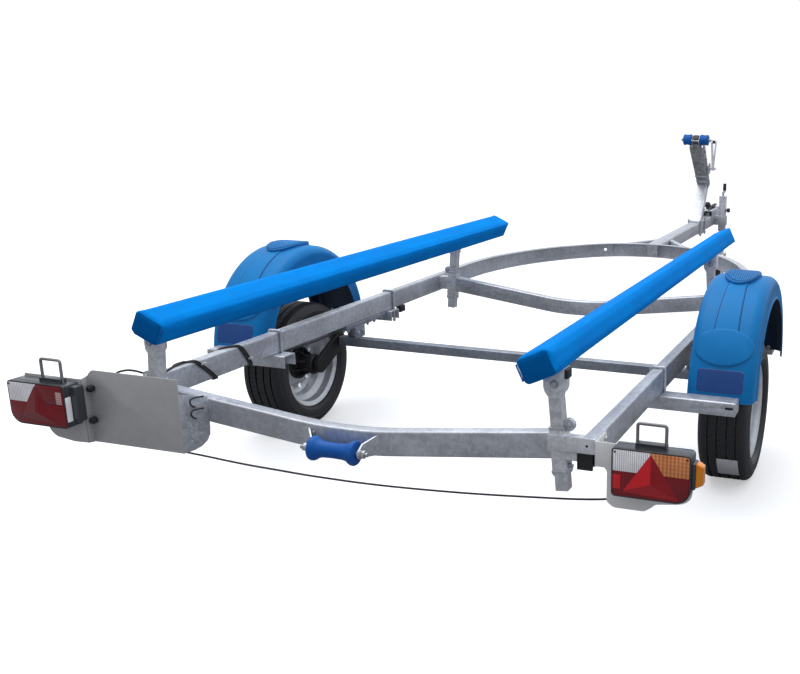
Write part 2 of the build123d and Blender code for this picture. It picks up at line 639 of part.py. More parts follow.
def rear_cable():
    """The round cable: straight runs joined by tangent arcs as large as the runs allow."""
    points = [Vector(*point) for point in CABLE_ROUTE]
    runs = [end - start for start, end in zip(points, points[1:])]
    radii = []
    for before, after in zip(runs, runs[1:]):
        half_turn = math.radians(before.get_angle(after)) / 2
        radii.append(0.45 * min(before.length, after.length) / math.tan(half_turn))
    print("cable radii", [round(radius) for radius in radii])
    path = FilletPolyline(*points, radius=radii)
    section = Plane(origin=points[0], z_dir=runs[0]) * Circle(CABLE_RADIUS)
    cable = sweep(section, path=path)
    print("cable length", round(path.length), "volume ratio",
          round(cable.volume / (path.length * math.pi * CABLE_RADIUS ** 2), 4))
    return cable


# ---- Keel roller ----------------------------------------------------------------------------------

ROLLER_Y = REAR_CROSS_Y - CROSS_DEPTH / 2 - ROLLER_BACK


def keel_roller():
    """A waisted rubber roller with two flanges, bored for its pin."""
    half = ROLLER_LENGTH / 2
    bore = ROLLER_PIN_RADIUS + RUNNING_GAP
    full, waist = ROLLER_RADIUS, ROLLER_WAIST
    profile = [(bore, -half), (full - 5, -half), (full, -half + 5), (full, -half + 38), (waist, -half + 50),
               (waist, half - 50), (full, half - 38), (full, half - 5), (full - 5, half), (bore, half)]
    return turned(profile, ROLLER_X, ROLLER_Y, ROLLER_Z)


def keel_bracket():
    """Two ears splayed out to the cross member, and the pin across them."""
    face = REAR_CROSS_Y - CROSS_DEPTH / 2
    inner = ROLLER_LENGTH / 2 + EAR_GAP
    middle_z = REAR_CROSS_TOP - REAR_CROSS_DIP - REAR_CROSS_HEIGHT / 2
    eye = Pos(ROLLER_Y, ROLLER_Z) * Circle(15)
    foot = Pos(face - 3, middle_z) * Rectangle(6, 58)
    side = across(inner, inner + EAR_SPLAY + EAR_WALL, make_hull([*eye.edges(), *foot.edges()]))
    bend = ROLLER_Y + 14
    plan = Polyline((inner, ROLLER_Y - 20), (inner + EAR_WALL, ROLLER_Y - 20), (inner + EAR_WALL, bend),
                    (inner + EAR_WALL + EAR_SPLAY, face), (inner + EAR_SPLAY, face), (inner, bend), close=True)
    ear = side & extrude(Pos(0, 0, ROLLER_Z - 60) * make_face(plan), 120)
    end = inner + EAR_WALL + 8
    pin = rod((-end, ROLLER_Y, ROLLER_Z), (end, ROLLER_Y, ROLLER_Z), ROLLER_PIN_RADIUS)
    return ear + side_mirror(ear, -1) + pin


# ---- Winch post --------------------------------------------------------------------------------------

KNEE_Y = WINCH_Y + KNEE_LEAN
foot_to_knee = Vector(0, KNEE_LEAN, KNEE_Z - RAIL_TOP)
knee_point = Vector(0, KNEE_Y, KNEE_Z)
head_line = Vector(0, BOW_ROLLER_Y, BOW_ROLLER_Z) - knee_point
HEAD_LENGTH = head_line.length
# The head's plane: x across the trailer, y up along the head, z ahead of it
head_plane = Plane(origin=knee_point, x_dir=(-1, 0, 0), z_dir=head_line.cross(Vector(1, 0, 0)))


def head_place(along, ahead):
    """The point at a distance along the head's middle line and ahead of it."""
    return head_plane.from_local_coords(Vector(0, along, ahead))


def post_tube(size):
    """A square bar along the leaning post, from below the drawbar's top to the knee."""
    start = knee_point - foot_to_knee * 1.25
    plane = Plane(origin=start, x_dir=(1, 0, 0), z_dir=foot_to_knee)
    return extrude(plane * Rectangle(size, size), foot_to_knee.length * 1.25)


def winch_post():
    """The leaning square tube on its saddle plate."""
    post = post_tube(WINCH_POST_SIZE) - post_tube(WINCH_POST_SIZE - 6)
    half = DRAWBAR_WIDTH / 2
    post -= block((-100, 100), (WINCH_Y - 300, WINCH_Y + 300), (0, RAIL_TOP + 6))
    saddle = block((-half - 10, half + 10), (WINCH_Y - 90, WINCH_Y + 90), (RAIL_TOP, RAIL_TOP + 6))
    for y in (WINCH_Y - 75, WINCH_Y + 75):
        for x in (-half - 5, half + 5):
            saddle += rod((x, y, RAIL_BOTTOM - 14), (x, y, RAIL_TOP + 16), 5)
    under = block((-half - 12, half + 12), (WINCH_Y - 90, WINCH_Y + 90), (RAIL_BOTTOM - 6, RAIL_BOTTOM))
    return post + saddle + under


def trough(inset, depth_from, depth_to, start, end):
    """A tapered bar along the head: wider towards the bow rollers."""
    slope = (HEAD_TOP_HALF - HEAD_LOW_HALF) / (HEAD_END - HEAD_START)
    low = HEAD_LOW_HALF + slope * (start - HEAD_START) - inset
    high = HEAD_LOW_HALF + slope * (end - HEAD_START) - inset
    outline = Polyline((-low, start), (low, start), (high, end), (-high, end), close=True)
    return extrude(head_plane * Pos(0, 0, depth_from) * make_face(outline), depth_to - depth_from)


def winch_head():
    """The tapered channel on the post's top, with the fork and pin of the bow rollers."""
    back = -HEAD_DEPTH_ACROSS / 2
    body = trough(0, back, -back, HEAD_START, HEAD_END)
    body -= trough(HEAD_WALL, back + HEAD_WALL, -back + 1, HEAD_START - 1, HEAD_END + 1)
    body -= post_tube(WINCH_POST_SIZE)
    shaft = head_place(DRUM_ALONG, DRUM_OFFSET)
    body -= rod((-100, shaft.Y, shaft.Z), (100, shaft.Y, shaft.Z), SHAFT_RADIUS + RUNNING_GAP)
    outline = Polyline((-BOW_FORK_HALF, HEAD_END - 30), (BOW_FORK_HALF, HEAD_END - 30),
                       (BOW_FORK_HALF, HEAD_LENGTH + 24), (-BOW_FORK_HALF, HEAD_LENGTH + 24), close=True)
    fork = extrude(head_plane * Pos(0, 0, back + HEAD_WALL) * make_face(outline), 50)
    inside = Polyline((-BOW_FORK_HALF + 5, HEAD_END - 40), (BOW_FORK_HALF - 5, HEAD_END - 40),
                      (BOW_FORK_HALF - 5, HEAD_LENGTH + 30), (-BOW_FORK_HALF + 5, HEAD_LENGTH + 30), close=True)
    fork -= extrude(head_plane * Pos(0, 0, back + HEAD_WALL + 5) * make_face(inside), 60)
    pin_end = BOW_FORK_HALF + BOW_ROLLER_LENGTH + 6
    pin = rod((-pin_end, BOW_ROLLER_Y, BOW_ROLLER_Z), (pin_end, BOW_ROLLER_Y, BOW_ROLLER_Z), 8)
    return body + fork + pin


def bow_rollers():
    """The two rubber rollers that the boat's stem rests between."""
    radius, length = BOW_ROLLER_RADIUS, BOW_ROLLER_LENGTH
    profile = [(8, 0), (radius - 6, 0), (radius, 8), (radius, length - 10), (radius - 8, length), (8, length)]
    roller = turned(profile, BOW_FORK_HALF + 1, BOW_ROLLER_Y, BOW_ROLLER_Z)
    return [roller, side_mirror(roller, -1)]


def winch_drum():
    """The drum, its shaft and the crank handle."""
    shaft = head_place(DRUM_ALONG, DRUM_OFFSET)
    y, z = shaft.Y, shaft.Z
    half = HEAD_LOW_HALF - HEAD_WALL - 2
    drum = rod((-half, y, z), (half, y, z), DRUM_RADIUS)
    for x in (-half, half - 4):
        drum += rod((x, y, z), (x + 4, y, z), DRUM_FLANGE_RADIUS)
    drum += rod((-HEAD_TOP_HALF - 8, y, z), (CRANK_X, y, z), SHAFT_RADIUS)
    drum += block((CRANK_X, CRANK_X + 8), (y - 11, y + 11), (z - 11, z + CRANK_LENGTH + 12))
    return drum + rod((HEAD_TOP_HALF + 10, y, z + CRANK_LENGTH), (CRANK_X, y, z + CRANK_LENGTH), 12)


# ---- Coupling and jockey wheel ---------------------------------------------------------------------------

def coupling_skirt(wall):
    """The space of the coupling's skirt over the drawbar, moved in by wall."""
    half = DRAWBAR_WIDTH / 2 + COUPLING_WALL - wall
    height = (COUPLING_SKIRT_BOTTOM, COUPLING_SKIRT_TOP - wall)
    return block((-half, half), (COUPLING_REAR, DRAWBAR_FRONT), height)


def coupling_head():
    """The coupling: a skirt over the drawbar's end and a nose with a ball socket below."""
    z = COUPLING_Z
    skirt = coupling_skirt(0) - coupling_skirt(COUPLING_WALL)
    base = Pos(0, DRAWBAR_FRONT) * Rectangle(2 * (DRAWBAR_WIDTH / 2 + COUPLING_WALL), 12)
    nose_plan = make_hull([*(Pos(0, BALL_Y) * Circle(40)).edges(), *base.edges()])
    nose_plan -= Pos(0, DRAWBAR_FRONT - 50) * Rectangle(200, 100)
    nose = extrude(Pos(0, 0, z - 32) * nose_plan, 72)
    crown = block((-26, 26), (DRAWBAR_FRONT, BALL_Y - 20), (z + 40, COUPLING_SKIRT_TOP))
    body = skirt + nose + crown
    socket = BALL_SOCKET_RADIUS
    body -= rod((0, BALL_Y, z - 40), (0, BALL_Y, z), socket)
    return body - Pos(0, BALL_Y, z) * Sphere(socket)


def coupling_lever():
    """The black hand lever along the coupling's top, with its knob to the rear."""
    top = COUPLING_SKIRT_TOP
    foot = block((-14, 14), (DRAWBAR_FRONT - 20, DRAWBAR_FRONT + 60), (top, top + 10))
    arm = block((-11, 11), (COUPLING_REAR + 20, BALL_Y - 40), (top + 10, top + 24))
    knob = Pos(0, COUPLING_REAR + 20, top + 42) * Sphere(24)
    return foot + arm + knob


def jockey_clamp():
    """The clamp on the drawbar's side and the outer tube that it holds, with cap and crank."""
    outer, inner = JOCKEY_OUTER_RADIUS, JOCKEY_INNER_RADIUS + RUNNING_GAP
    x, y = JOCKEY_X, JOCKEY_Y
    top = JOCKEY_TUBE_TOP
    body = rod((x, y, JOCKEY_TUBE_BOTTOM), (x, y, top), outer)
    body += block((DRAWBAR_WIDTH / 2, x), (y - 35, y + 35), (RAIL_BOTTOM + 5, RAIL_TOP - 5))
    body -= coupling_skirt(0)
    body += rod((x, y, RAIL_BOTTOM + 5), (x, y, RAIL_TOP - 5), outer + 8)
    body -= rod((x, y, JOCKEY_TUBE_BOTTOM - 1), (x, y, top - 6), inner)
    body += rod((x, y, top), (x, y, top + 26), 8)
    body += block((x - 8, x + 8), (y - 8, y + 58), (top + 26, top + 34))
    return body + rod((x, y + 50, top + 34), (x, y + 50, top + 92), 11)


FORK_TOP = 2 * JOCKEY_WHEEL_RADIUS + 12


def jockey_leg():
    """The inner tube, closed at its foot; it slides in the outer tube."""
    x, y = JOCKEY_X, JOCKEY_Y
    foot = FORK_TOP + 5
    leg = rod((x, y, foot), (x, y, JOCKEY_LEG_TOP), JOCKEY_INNER_RADIUS)
    return leg - rod((x, y, foot + 7), (x, y, JOCKEY_LEG_TOP), JOCKEY_INNER_RADIUS - JOCKEY_WALL)


def jockey_fork():
    """The caster fork that swivels below the inner tube, with the wheel's axle."""
    x, y = JOCKEY_X, JOCKEY_Y
    axle_y = y - JOCKEY_TRAIL
    gap = JOCKEY_WHEEL_WIDTH / 2 + 5
    fork = block((x - gap - 6, x + gap + 6), (axle_y - 20, y + 30), (FORK_TOP - 6, FORK_TOP))
    outline = make_hull([*(Pos(axle_y, JOCKEY_WHEEL_RADIUS) * Circle(20)).edges(),
                         *(Pos((axle_y + y) / 2 + 5, FORK_TOP - 3) * Rectangle(JOCKEY_TRAIL + 40, 6)).edges()])
    for x0 in (x - gap - 6, x + gap):
        fork += across(x0, x0 + 6, outline)
    fork += rod((x, y, FORK_TOP), (x, y, FORK_TOP + 4.7), 22)
    return fork + rod((x - gap - 8, axle_y, JOCKEY_WHEEL_RADIUS), (x + gap + 8, axle_y, JOCKEY_WHEEL_RADIUS), 8)


def jockey_wheel():
    """A solid tyred wheel bored for its axle."""
    half = JOCKEY_WHEEL_WIDTH / 2
    radius = JOCKEY_WHEEL_RADIUS
    bore = 8 + RUNNING_GAP
    profile = [(bore, -half), (20, -half), (24, -10), (60, -10), (64, -half + 4), (radius - 8, -half + 4),
               (radius, -half + 14), (radius, half - 14), (radius - 8, half - 4), (64, half - 4), (60, 10),
               (24, 10), (20, half), (bore, half)]
    return turned(profile, JOCKEY_X, JOCKEY_Y - JOCKEY_TRAIL, JOCKEY_WHEEL_RADIUS)


# ---- Build ---------------------------------------------------------------------------------

for name, side in SIDES:
    save(f"side_rail_{name}", side_mirror(side_rail(), side))
    save(f"swing_arm_{name}", side_mirror(swing_arm(), side))
    save(f"hub_{name}", side_mirror(hub(), side))
    save(f"rim_{name}", side_mirror(rim(), side))
    save(f"tyre_{name}", side_mirror(tyre(), side))
    save(f"mudguard_{name}", side_mirror(mudguard(), side))
    bars = [guard_bar(REAR_BAR_Y, REAR_BAR_INNER), guard_bar(FRONT_BAR_Y, FRONT_BAR_INNER)]
    save(f"mudguard_bars_{name}", [side_mirror(bar, side) for bar in bars])
    save(f"bunk_{name}", side_mirror(bunk(), side))
    for end, y in (("rear", REAR_POST_Y), ("front", FRONT_POST_Y)):
        save(f"bunk_post_{end}_{name}", side_mirror(bunk_post(y, HEAD_WIDTH[name]), side))
    save(f"tail_lamp_{name}", tail_lamp(name, side))
clamps = [bunk_clamp(REAR_POST_Y), bunk_clamp(FRONT_POST_Y)]
save("bunk_clamps", [side_mirror(clamp, side) for _, side in SIDES for clamp in clamps])
save("u_bolts", [side_mirror(u_bolt(y), side) for _, side in SIDES for y in (REAR_BAR_Y, FRONT_BAR_Y)])
save("rear_tabs", [side_mirror(rear_tab(), side) for _, side in SIDES])
save("front_hoop", front_hoop())
save("drawbar", drawbar())
save("drawbar_braces", [side_mirror(drawbar_brace(), side) for _, side in SIDES])
save("rear_crossmember", cross_member(REAR_CROSS_Y, REAR_CROSS_HEIGHT, REAR_CROSS_TOP, REAR_CROSS_DIP))
save("front_crossmember", cross_member(FRONT_CROSS_Y, FRONT_CROSS_HEIGHT, FRONT_CROSS_TOP, FRONT_CROSS_DIP))
save("axle_beam", axle_beam())
save("light_bracket_left", light_bracket_left())
save("light_bracket_right", light_bracket_right())
save("keel_roller_bracket", keel_bracket())
save("keel_roller", keel_roller())
save("winch_post", winch_post())
save("winch_head", winch_head())
save("winch_drum", winch_drum())
save("bow_rollers", bow_rollers())
save("coupling_head", coupling_head())
save("coupling_lever", coupling_lever())
save("jockey_clamp", jockey_clamp())
save("jockey_leg", jockey_leg())
save("jockey_fork", jockey_fork())
save("jockey_wheel", jockey_wheel())
panel_front = PANEL_Y + BRACKET_WALL
plate_front = LAMP_BACK["right"] + BRACKET_WALL
left_end, right_end = CABLE_ROUTE[0], CABLE_ROUTE[-1]
glands = [cable_gland(left_end, panel_front, left_end[1] + GLAND_HALF),
          cable_gland(right_end, plate_front, right_end[1] + GLAND_HALF)]
save("rear_cable", rear_cable() - glands[0] - glands[1])
save("cable_glands", glands)
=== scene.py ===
import math

import bmesh
import bpy
from mathutils import Matrix, Vector


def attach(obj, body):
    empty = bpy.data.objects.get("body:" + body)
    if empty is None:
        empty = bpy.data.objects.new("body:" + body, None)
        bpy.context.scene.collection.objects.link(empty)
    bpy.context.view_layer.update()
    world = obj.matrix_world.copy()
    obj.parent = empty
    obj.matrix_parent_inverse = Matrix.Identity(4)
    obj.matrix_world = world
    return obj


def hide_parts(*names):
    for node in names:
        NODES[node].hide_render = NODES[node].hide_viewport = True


# A single-axle galvanised boat trailer, in metres: +X right, +Y forward, +Z up.

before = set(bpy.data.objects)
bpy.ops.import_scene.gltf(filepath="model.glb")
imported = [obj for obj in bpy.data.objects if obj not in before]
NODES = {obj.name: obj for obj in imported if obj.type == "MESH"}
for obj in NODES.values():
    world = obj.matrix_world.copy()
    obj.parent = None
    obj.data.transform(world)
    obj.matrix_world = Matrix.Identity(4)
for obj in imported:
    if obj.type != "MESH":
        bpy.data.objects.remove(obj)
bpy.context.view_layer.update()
SIDES = (("left", -1), ("right", 1))
X, Y, Z = Vector((1, 0, 0)), Vector((0, 1, 0)), Vector((0, 0, 1))
TINY = 1e-5


# ---- Camera ----------------------------------------------------------------------------

FRAME_WIDTH, FRAME_HEIGHT = 800, 674
FOCAL_PIXELS = 977.03
AXIS_PIXEL = (611.918, 367.269)
view_right = Vector((0.955743, 0.293781, 0.015748))
view_up = Vector((-0.092993, 0.250881, 0.963541))
view_forward = Vector((-0.279119, 0.922362, -0.267097))
view_place = Vector((1.517687, -3.485240, 1.386085))

lens = bpy.data.cameras.new("trailer_view")
lens.sensor_fit = "HORIZONTAL"
lens.sensor_width = 36
lens.lens = 36 * FOCAL_PIXELS / FRAME_WIDTH
lens.shift_x = (FRAME_WIDTH / 2 - AXIS_PIXEL[0]) / FRAME_WIDTH
lens.shift_y = (AXIS_PIXEL[1] - FRAME_HEIGHT / 2) / FRAME_WIDTH
lens.clip_end = 2000
camera = bpy.data.objects.new("trailer_view", lens)
turn = Matrix((view_right, view_up, -view_forward)).transposed()
camera.matrix_world = Matrix.Translation(view_place) @ turn.to_4x4()
bpy.context.scene.collection.objects.link(camera)
bpy.context.scene.camera = camera


# ---- Node trees for the finishes ---------------------------------------------------------

class Net:
    """Adds nodes to one tree, with their inputs given as numbers, colours or other sockets."""

    def __init__(self, tree):
        self.tree = tree

    def add(self, kind, inputs=None, **settings):
        node = self.tree.nodes.new(kind)
        for name, value in settings.items():
            setattr(node, name, value)
        for name, value in (inputs or {}).items():
            self.put(node.inputs[name], value)
        return node

    def put(self, socket, value):
        if isinstance(value, bpy.types.NodeSocket):
            self.tree.links.new(value, socket)
        else:
            socket.default_value = value

    def math(self, operation, *values, clamp=False):
        return self.add("ShaderNodeMath", dict(enumerate(values)), operation=operation,
                        use_clamp=clamp).outputs[0]

    def mix(self, factor, first, second, blend="MIX"):
        """Mixes two colours."""
        node = self.add("ShaderNodeMix", data_type="RGBA", blend_type=blend)
        for index, value in ((0, factor), (6, first), (7, second)):
            self.put(node.inputs[index], value)
        return node.outputs[2]

    def between(self, value, low, high, out_low=0.0, out_high=1.0):
        """Maps a value's range to another one, smoothly and clamped."""
        return self.add("ShaderNodeMapRange", {0: value, 1: low, 2: high, 3: out_low, 4: out_high},
                        interpolation_type="SMOOTHSTEP").outputs[0]

    def place(self, stretch=(1, 1, 1), turned=(0, 0, 0)):
        """The point on the object, stretched and turned for a pattern."""
        point = self.add("ShaderNodeTexCoord").outputs["Object"]
        return self.add("ShaderNodeMapping", {"Vector": point, "Scale": stretch, "Rotation": turned}
                        ).outputs[0]

    def total(self, *parts):
        """Adds up values, each times its weight."""
        shares = [self.math("MULTIPLY", value, weight) for value, weight in parts]
        added = shares[0]
        for share in shares[1:]:
            added = self.math("ADD", added, share)
        return added

    def cloud(self, scale, detail=4.0, roughness=0.55, vector=None):
        """Soft noise from 0 to 1."""
        node = self.add("ShaderNodeTexNoise", {"Vector": vector or self.place(), "Scale": scale,
                                               "Detail": detail, "Roughness": roughness})
        return node.outputs["Fac"]


LOOK = {"Colour": "colour", "Roughness": "value", "Height": "value"}


def effect(name, inputs, outputs=LOOK):
    """Starts a node group with named inputs and outputs."""
    tree = bpy.data.node_groups.new(name, "ShaderNodeTree")
    kinds = {"colour": "NodeSocketColor", "value": "NodeSocketFloat"}
    for label, (kind, default) in inputs.items():
        tree.interface.new_socket(label, in_out="INPUT", socket_type=kinds[kind]).default_value = default
    for label, kind in outputs.items():
        tree.interface.new_socket(label, in_out="OUTPUT", socket_type=kinds[kind])
    net = Net(tree)
    given = net.add("NodeGroupInput").outputs
    result = net.add("NodeGroupOutput").inputs
    return net, given, result


def make_edge_light():
    """Where the surface turns a corner: 0 on flats, 1 on edges."""
    net, given, result = effect("edge_light", {"Width": ("value", 0.002)}, {"Edge": "value"})
    rounded = net.add("ShaderNodeBevel", {"Radius": given["Width"]}, samples=6).outputs[0]
    plain = net.add("ShaderNodeNewGeometry").outputs["Normal"]
    alike = net.add("ShaderNodeVectorMath", {0: rounded, 1: plain}, operation="DOT_PRODUCT").outputs["Value"]
    net.put(result["Edge"], net.between(alike, 0.995, 0.86))
    return net.tree


def make_zinc_skin():
    """Hot-dipped zinc: soft crystals, milky patches, drawn streaks, and edges painted paler as a painted
    highlight.
    """
    inputs = {"Dark": ("colour", (0.2, 0.2, 0.21, 1)), "Light": ("colour", (0.5, 0.52, 0.55, 1)),
              "Crystal": ("value", 0.16), "Edge": ("value", 0)}
    net, given, result = effect("zinc_skin", inputs)
    crystals = net.add("ShaderNodeTexVoronoi", {"Vector": net.place(), "Scale": 95.0, "Randomness": 1.0})
    crystal = net.add("ShaderNodeSeparateColor", {0: crystals.outputs["Color"]}).outputs[0]
    patches = net.cloud(5.0, 6.0, 0.62)
    fine = net.cloud(60.0, 5.0, 0.65)
    streaks = net.cloud(9.0, 4.0, 0.6, net.place((1, 0.12, 2.5)))
    tone = net.total((patches, 0.62), (streaks, 0.42), (net.math("SUBTRACT", fine, 0.5), 0.35),
                     (net.math("SUBTRACT", crystal, 0.5), given["Crystal"]))
    base = net.mix(net.between(tone, 0.32, 0.76), given["Dark"], given["Light"])
    # Painted highlight: the edges are mixed towards a pale grey, as if rounded edges caught the light.
    net.put(result["Colour"], net.mix(net.math("MULTIPLY", given["Edge"], 0.55), base,
                                      (0.86, 0.89, 0.93, 1)))
    rough = net.math("ADD", net.between(patches, 0.3, 0.75, 0.34, 0.5), net.math("MULTIPLY", crystal, 0.06))
    net.put(result["Roughness"], net.math("SUBTRACT", rough, net.math("MULTIPLY", given["Edge"], 0.08)))
    net.put(result["Height"], net.total((crystal, 0.35), (fine, 1.0), (patches, 1.6)))
    return net.tree


def make_moulded_grain():
    """Moulded plastic or rubber: fine pebbled grain with a faint mottle, and edges painted paler as a painted
    highlight.
    """
    inputs = {"Colour": ("colour", (0.1, 0.1, 0.1, 1)), "Mottle": ("value", 0.12),
              "Grain size": ("value", 700.0), "Edge": ("value", 0)}
    net, given, result = effect("moulded_grain", inputs)
    mottle = net.cloud(6.0, 5.0, 0.6)
    pebbles = net.add("ShaderNodeTexVoronoi", {"Vector": net.place(), "Scale": given["Grain size"]},
                      feature="SMOOTH_F1").outputs["Distance"]
    darker = net.mix(1.0, given["Colour"], (0.62, 0.62, 0.66, 1), "MULTIPLY")
    # Painted highlight: the paler colour that the edges are mixed towards.
    edge_highlight = net.mix(0.35, given["Colour"], (0.8, 0.85, 0.9, 1))
    base = net.mix(net.math("MULTIPLY", net.between(mottle, 0.7, 0.3), given["Mottle"]),
                   given["Colour"], darker)
    net.put(result["Colour"], net.mix(net.math("MULTIPLY", given["Edge"], 0.45), base, edge_highlight))
    net.put(result["Roughness"], net.between(mottle, 0.3, 0.7, 0.4, 0.56))
    net.put(result["Height"], net.math("ADD", pebbles, net.math("MULTIPLY", mottle, 0.8)))
    return net.tree


def make_cover_weave():
    """Woven cover cloth: crossed threads with a soft nap along them and lint."""
    inputs = {"Colour": ("colour", (0.0, 0.24, 0.7, 1)), "Deep": ("colour", (0.0, 0.1, 0.4, 1)),
              "Threads": ("value", 520.0)}
    net, given, result = effect("cover_weave", inputs)
    split = net.add("ShaderNodeSeparateXYZ", {0: net.place()}).outputs
    girth = net.math("ADD", split["X"], split["Z"])
    threads = net.math("MULTIPLY", given["Threads"], 3.1)
    along = net.math("SINE", net.math("MULTIPLY", split["Y"], threads))
    across = net.math("SINE", net.math("MULTIPLY", girth, threads))
    weave = net.between(net.math("MULTIPLY", along, across), -1, 1)
    nap = net.cloud(14.0, 6.0, 0.66, net.place((1, 0.35, 1)))
    lint = net.cloud(240.0, 3.0, 0.6)
    tone = net.total((nap, 0.75), (lint, 0.25))
    base = net.mix(net.between(tone, 0.34, 0.66), given["Deep"], given["Colour"])
    net.put(result["Colour"], net.mix(net.math("MULTIPLY", weave, 0.2), base, given["Colour"]))
    net.put(result["Roughness"], net.between(nap, 0.3, 0.7, 0.72, 0.88))
    net.put(result["Height"], net.math("ADD", weave, net.math("MULTIPLY", nap, 1.2)))
    return net.tree


EDGE_LIGHT = make_edge_light()
ZINC_SKIN = make_zinc_skin()
MOULDED_GRAIN = make_moulded_grain()
COVER_WEAVE = make_cover_weave()


def finish_for(name, group, values, bump=0.3, depth=0.0004, edge_width=None, **shader_values):
    """A material whose colour, roughness and bump come from one of the shared effects."""
    material = bpy.data.materials.new(name)
    material.use_nodes = True
    net = Net(material.node_tree)
    shader = material.node_tree.nodes["Principled BSDF"]
    for socket, value in shader_values.items():
        shader.inputs[socket.replace("_", " ")].default_value = value
    skin = net.add("ShaderNodeGroup", node_tree=group)
    for socket, value in values.items():
        skin.inputs[socket].default_value = value
    # The edge mask feeds the effect's painted highlight on edges.
    if edge_width:
        edge = net.add("ShaderNodeGroup", node_tree=EDGE_LIGHT)
        edge.inputs["Width"].default_value = edge_width
        net.put(skin.inputs["Edge"], edge.outputs["Edge"])
    net.put(shader.inputs["Base Color"], skin.outputs["Colour"])
    net.put(shader.inputs["Roughness"], skin.outputs["Roughness"])
    bumped = net.add("ShaderNodeBump", {"Strength": bump, "Distance": depth,
                                        "Height": skin.outputs["Height"]})
    net.put(shader.inputs["Normal"], bumped.outputs["Normal"])
    return material


def zinc(name, dark, light, crystal=0.16, metallic=0.72, edge_width=0.003, bump=0.25):
    """A galvanised finish, with its two greys given as (red, green, blue)."""
    return finish_for(name, ZINC_SKIN, {"Dark": (*dark, 1), "Light": (*light, 1), "Crystal": crystal},
                      bump=bump, edge_width=edge_width, Metallic=metallic)


def moulded(name, colour, mottle=0.12, grain=700.0, bump=0.12, edge_width=None, **shader_values):
    """Moulded plastic or rubber, with its colour as (red, green, blue)."""
    return finish_for(name, MOULDED_GRAIN, {"Colour": (*colour, 1), "Mottle": mottle, "Grain size": grain},
                      bump=bump, edge_width=edge_width, **shader_values)


def woven(name, colour, deep, threads=520.0, bump=0.3, **shader_values):
    """Cloth, thread or webbing, with its two colours as (red, green, blue)."""
    values = {"Colour": (*colour, 1), "Deep": (*deep, 1), "Threads": threads}
    return finish_for(name, COVER_WEAVE, values, bump=bump, **shader_values)


def guard_plastic(name, colour, mottle=0.4, shine=0.18):
    """The mudguards' moulded blue, in one of its shades."""
    return moulded(name, colour, mottle, 900.0, 0.1, 0.002, Specular_IOR_Level=shine)


galvanised = zinc("galvanised", (0.47, 0.482, 0.515), (0.71, 0.738, 0.79))
# A darker copy of the galvanised finish for the axle, its seats and strips: painted shade under the rails.
galvanised_shaded = zinc("galvanised_shaded", (0.26, 0.285, 0.33), (0.44, 0.475, 0.54), 0.12)
galvanised_bright = zinc("galvanised_bright", (0.5, 0.52, 0.56), (0.78, 0.8, 0.84), metallic=0.8)
galvanised_dull = zinc("galvanised_dull", (0.24, 0.245, 0.25), (0.52, 0.53, 0.55), 0.3, 0.5, 0.0025, 0.4)
# A lighter copy of the galvanised finish for the posts, sleeves and tabs: painted light.
galvanised_lit = zinc("galvanised_lit", (0.62, 0.625, 0.65), (0.92, 0.93, 0.95), 0.2, 0.5)
galvanised_sheet = zinc("galvanised_sheet", (0.49, 0.485, 0.48), (0.57, 0.565, 0.56), 0.03, 0.3, 0.0012, 0.12)
# A much lighter copy of the sheet finish for the right bracket: painted light.
sheet_lit = zinc("bracket_sheet_lit", (0.86, 0.85, 0.83), (0.95, 0.94, 0.92), 0.03, 0.1, 0.0012, 0.12)
bright_zinc = zinc("bright_zinc", (0.74, 0.75, 0.78), (0.95, 0.955, 0.97), 0.1, 0.2, 0.001, 0.15)
zinc_plate = zinc("zinc_plated_bolts", (0.42, 0.43, 0.45), (0.66, 0.68, 0.70), 0.1, 0.85, 0.001)
dark_steel = zinc("dark_steel", (0.05, 0.055, 0.06), (0.14, 0.15, 0.165), 0.1, 0.6, 0.002)
dull_wire = zinc("dull_wire", (0.24, 0.24, 0.245), (0.36, 0.36, 0.365), 0.05, 0.6, 0.001, 0.1)
rim_silver = zinc("rim_silver", (0.60, 0.61, 0.63), (0.86, 0.87, 0.90), 0.02, 0.88, 0.002, 0.08)
CLOTH_LOOK = {"depth": 0.0006, "Specular_IOR_Level": 0.04}
bunk_cloth = woven("bunk_cloth", (0.0, 0.262, 0.79), (0.0, 0.20, 0.65), **CLOTH_LOOK)
# A darker copy of the cover cloth for the bunks' rear ends: painted shade.
bunk_cloth_shaded_end = woven("bunk_cloth_shaded_end", (0.0, 0.145, 0.46), (0.0, 0.11, 0.37), **CLOTH_LOOK)
seam_thread = woven("seam_thread", (0.0, 0.16, 0.56), (0.0, 0.1, 0.4), 900.0)
strap_grey = woven("winch_strap", (0.16, 0.165, 0.18), (0.07, 0.072, 0.08), 900.0, 0.5)
guard_blue = guard_plastic("mudguard_blue", (0.004, 0.215, 0.56), 0.5)
guard_blue_deep = guard_plastic("mudguard_deep_blue", (0.008, 0.075, 0.30), shine=0.5)
# A darker blue for the step's base under its ribs: painted shade between the ribs.
guard_blue_step_shade = guard_plastic("mudguard_step_shade_blue", (0.004, 0.15, 0.42))
guard_blue_shade = guard_plastic("mudguard_shade_blue", (0.004, 0.085, 0.27), shine=0.15)
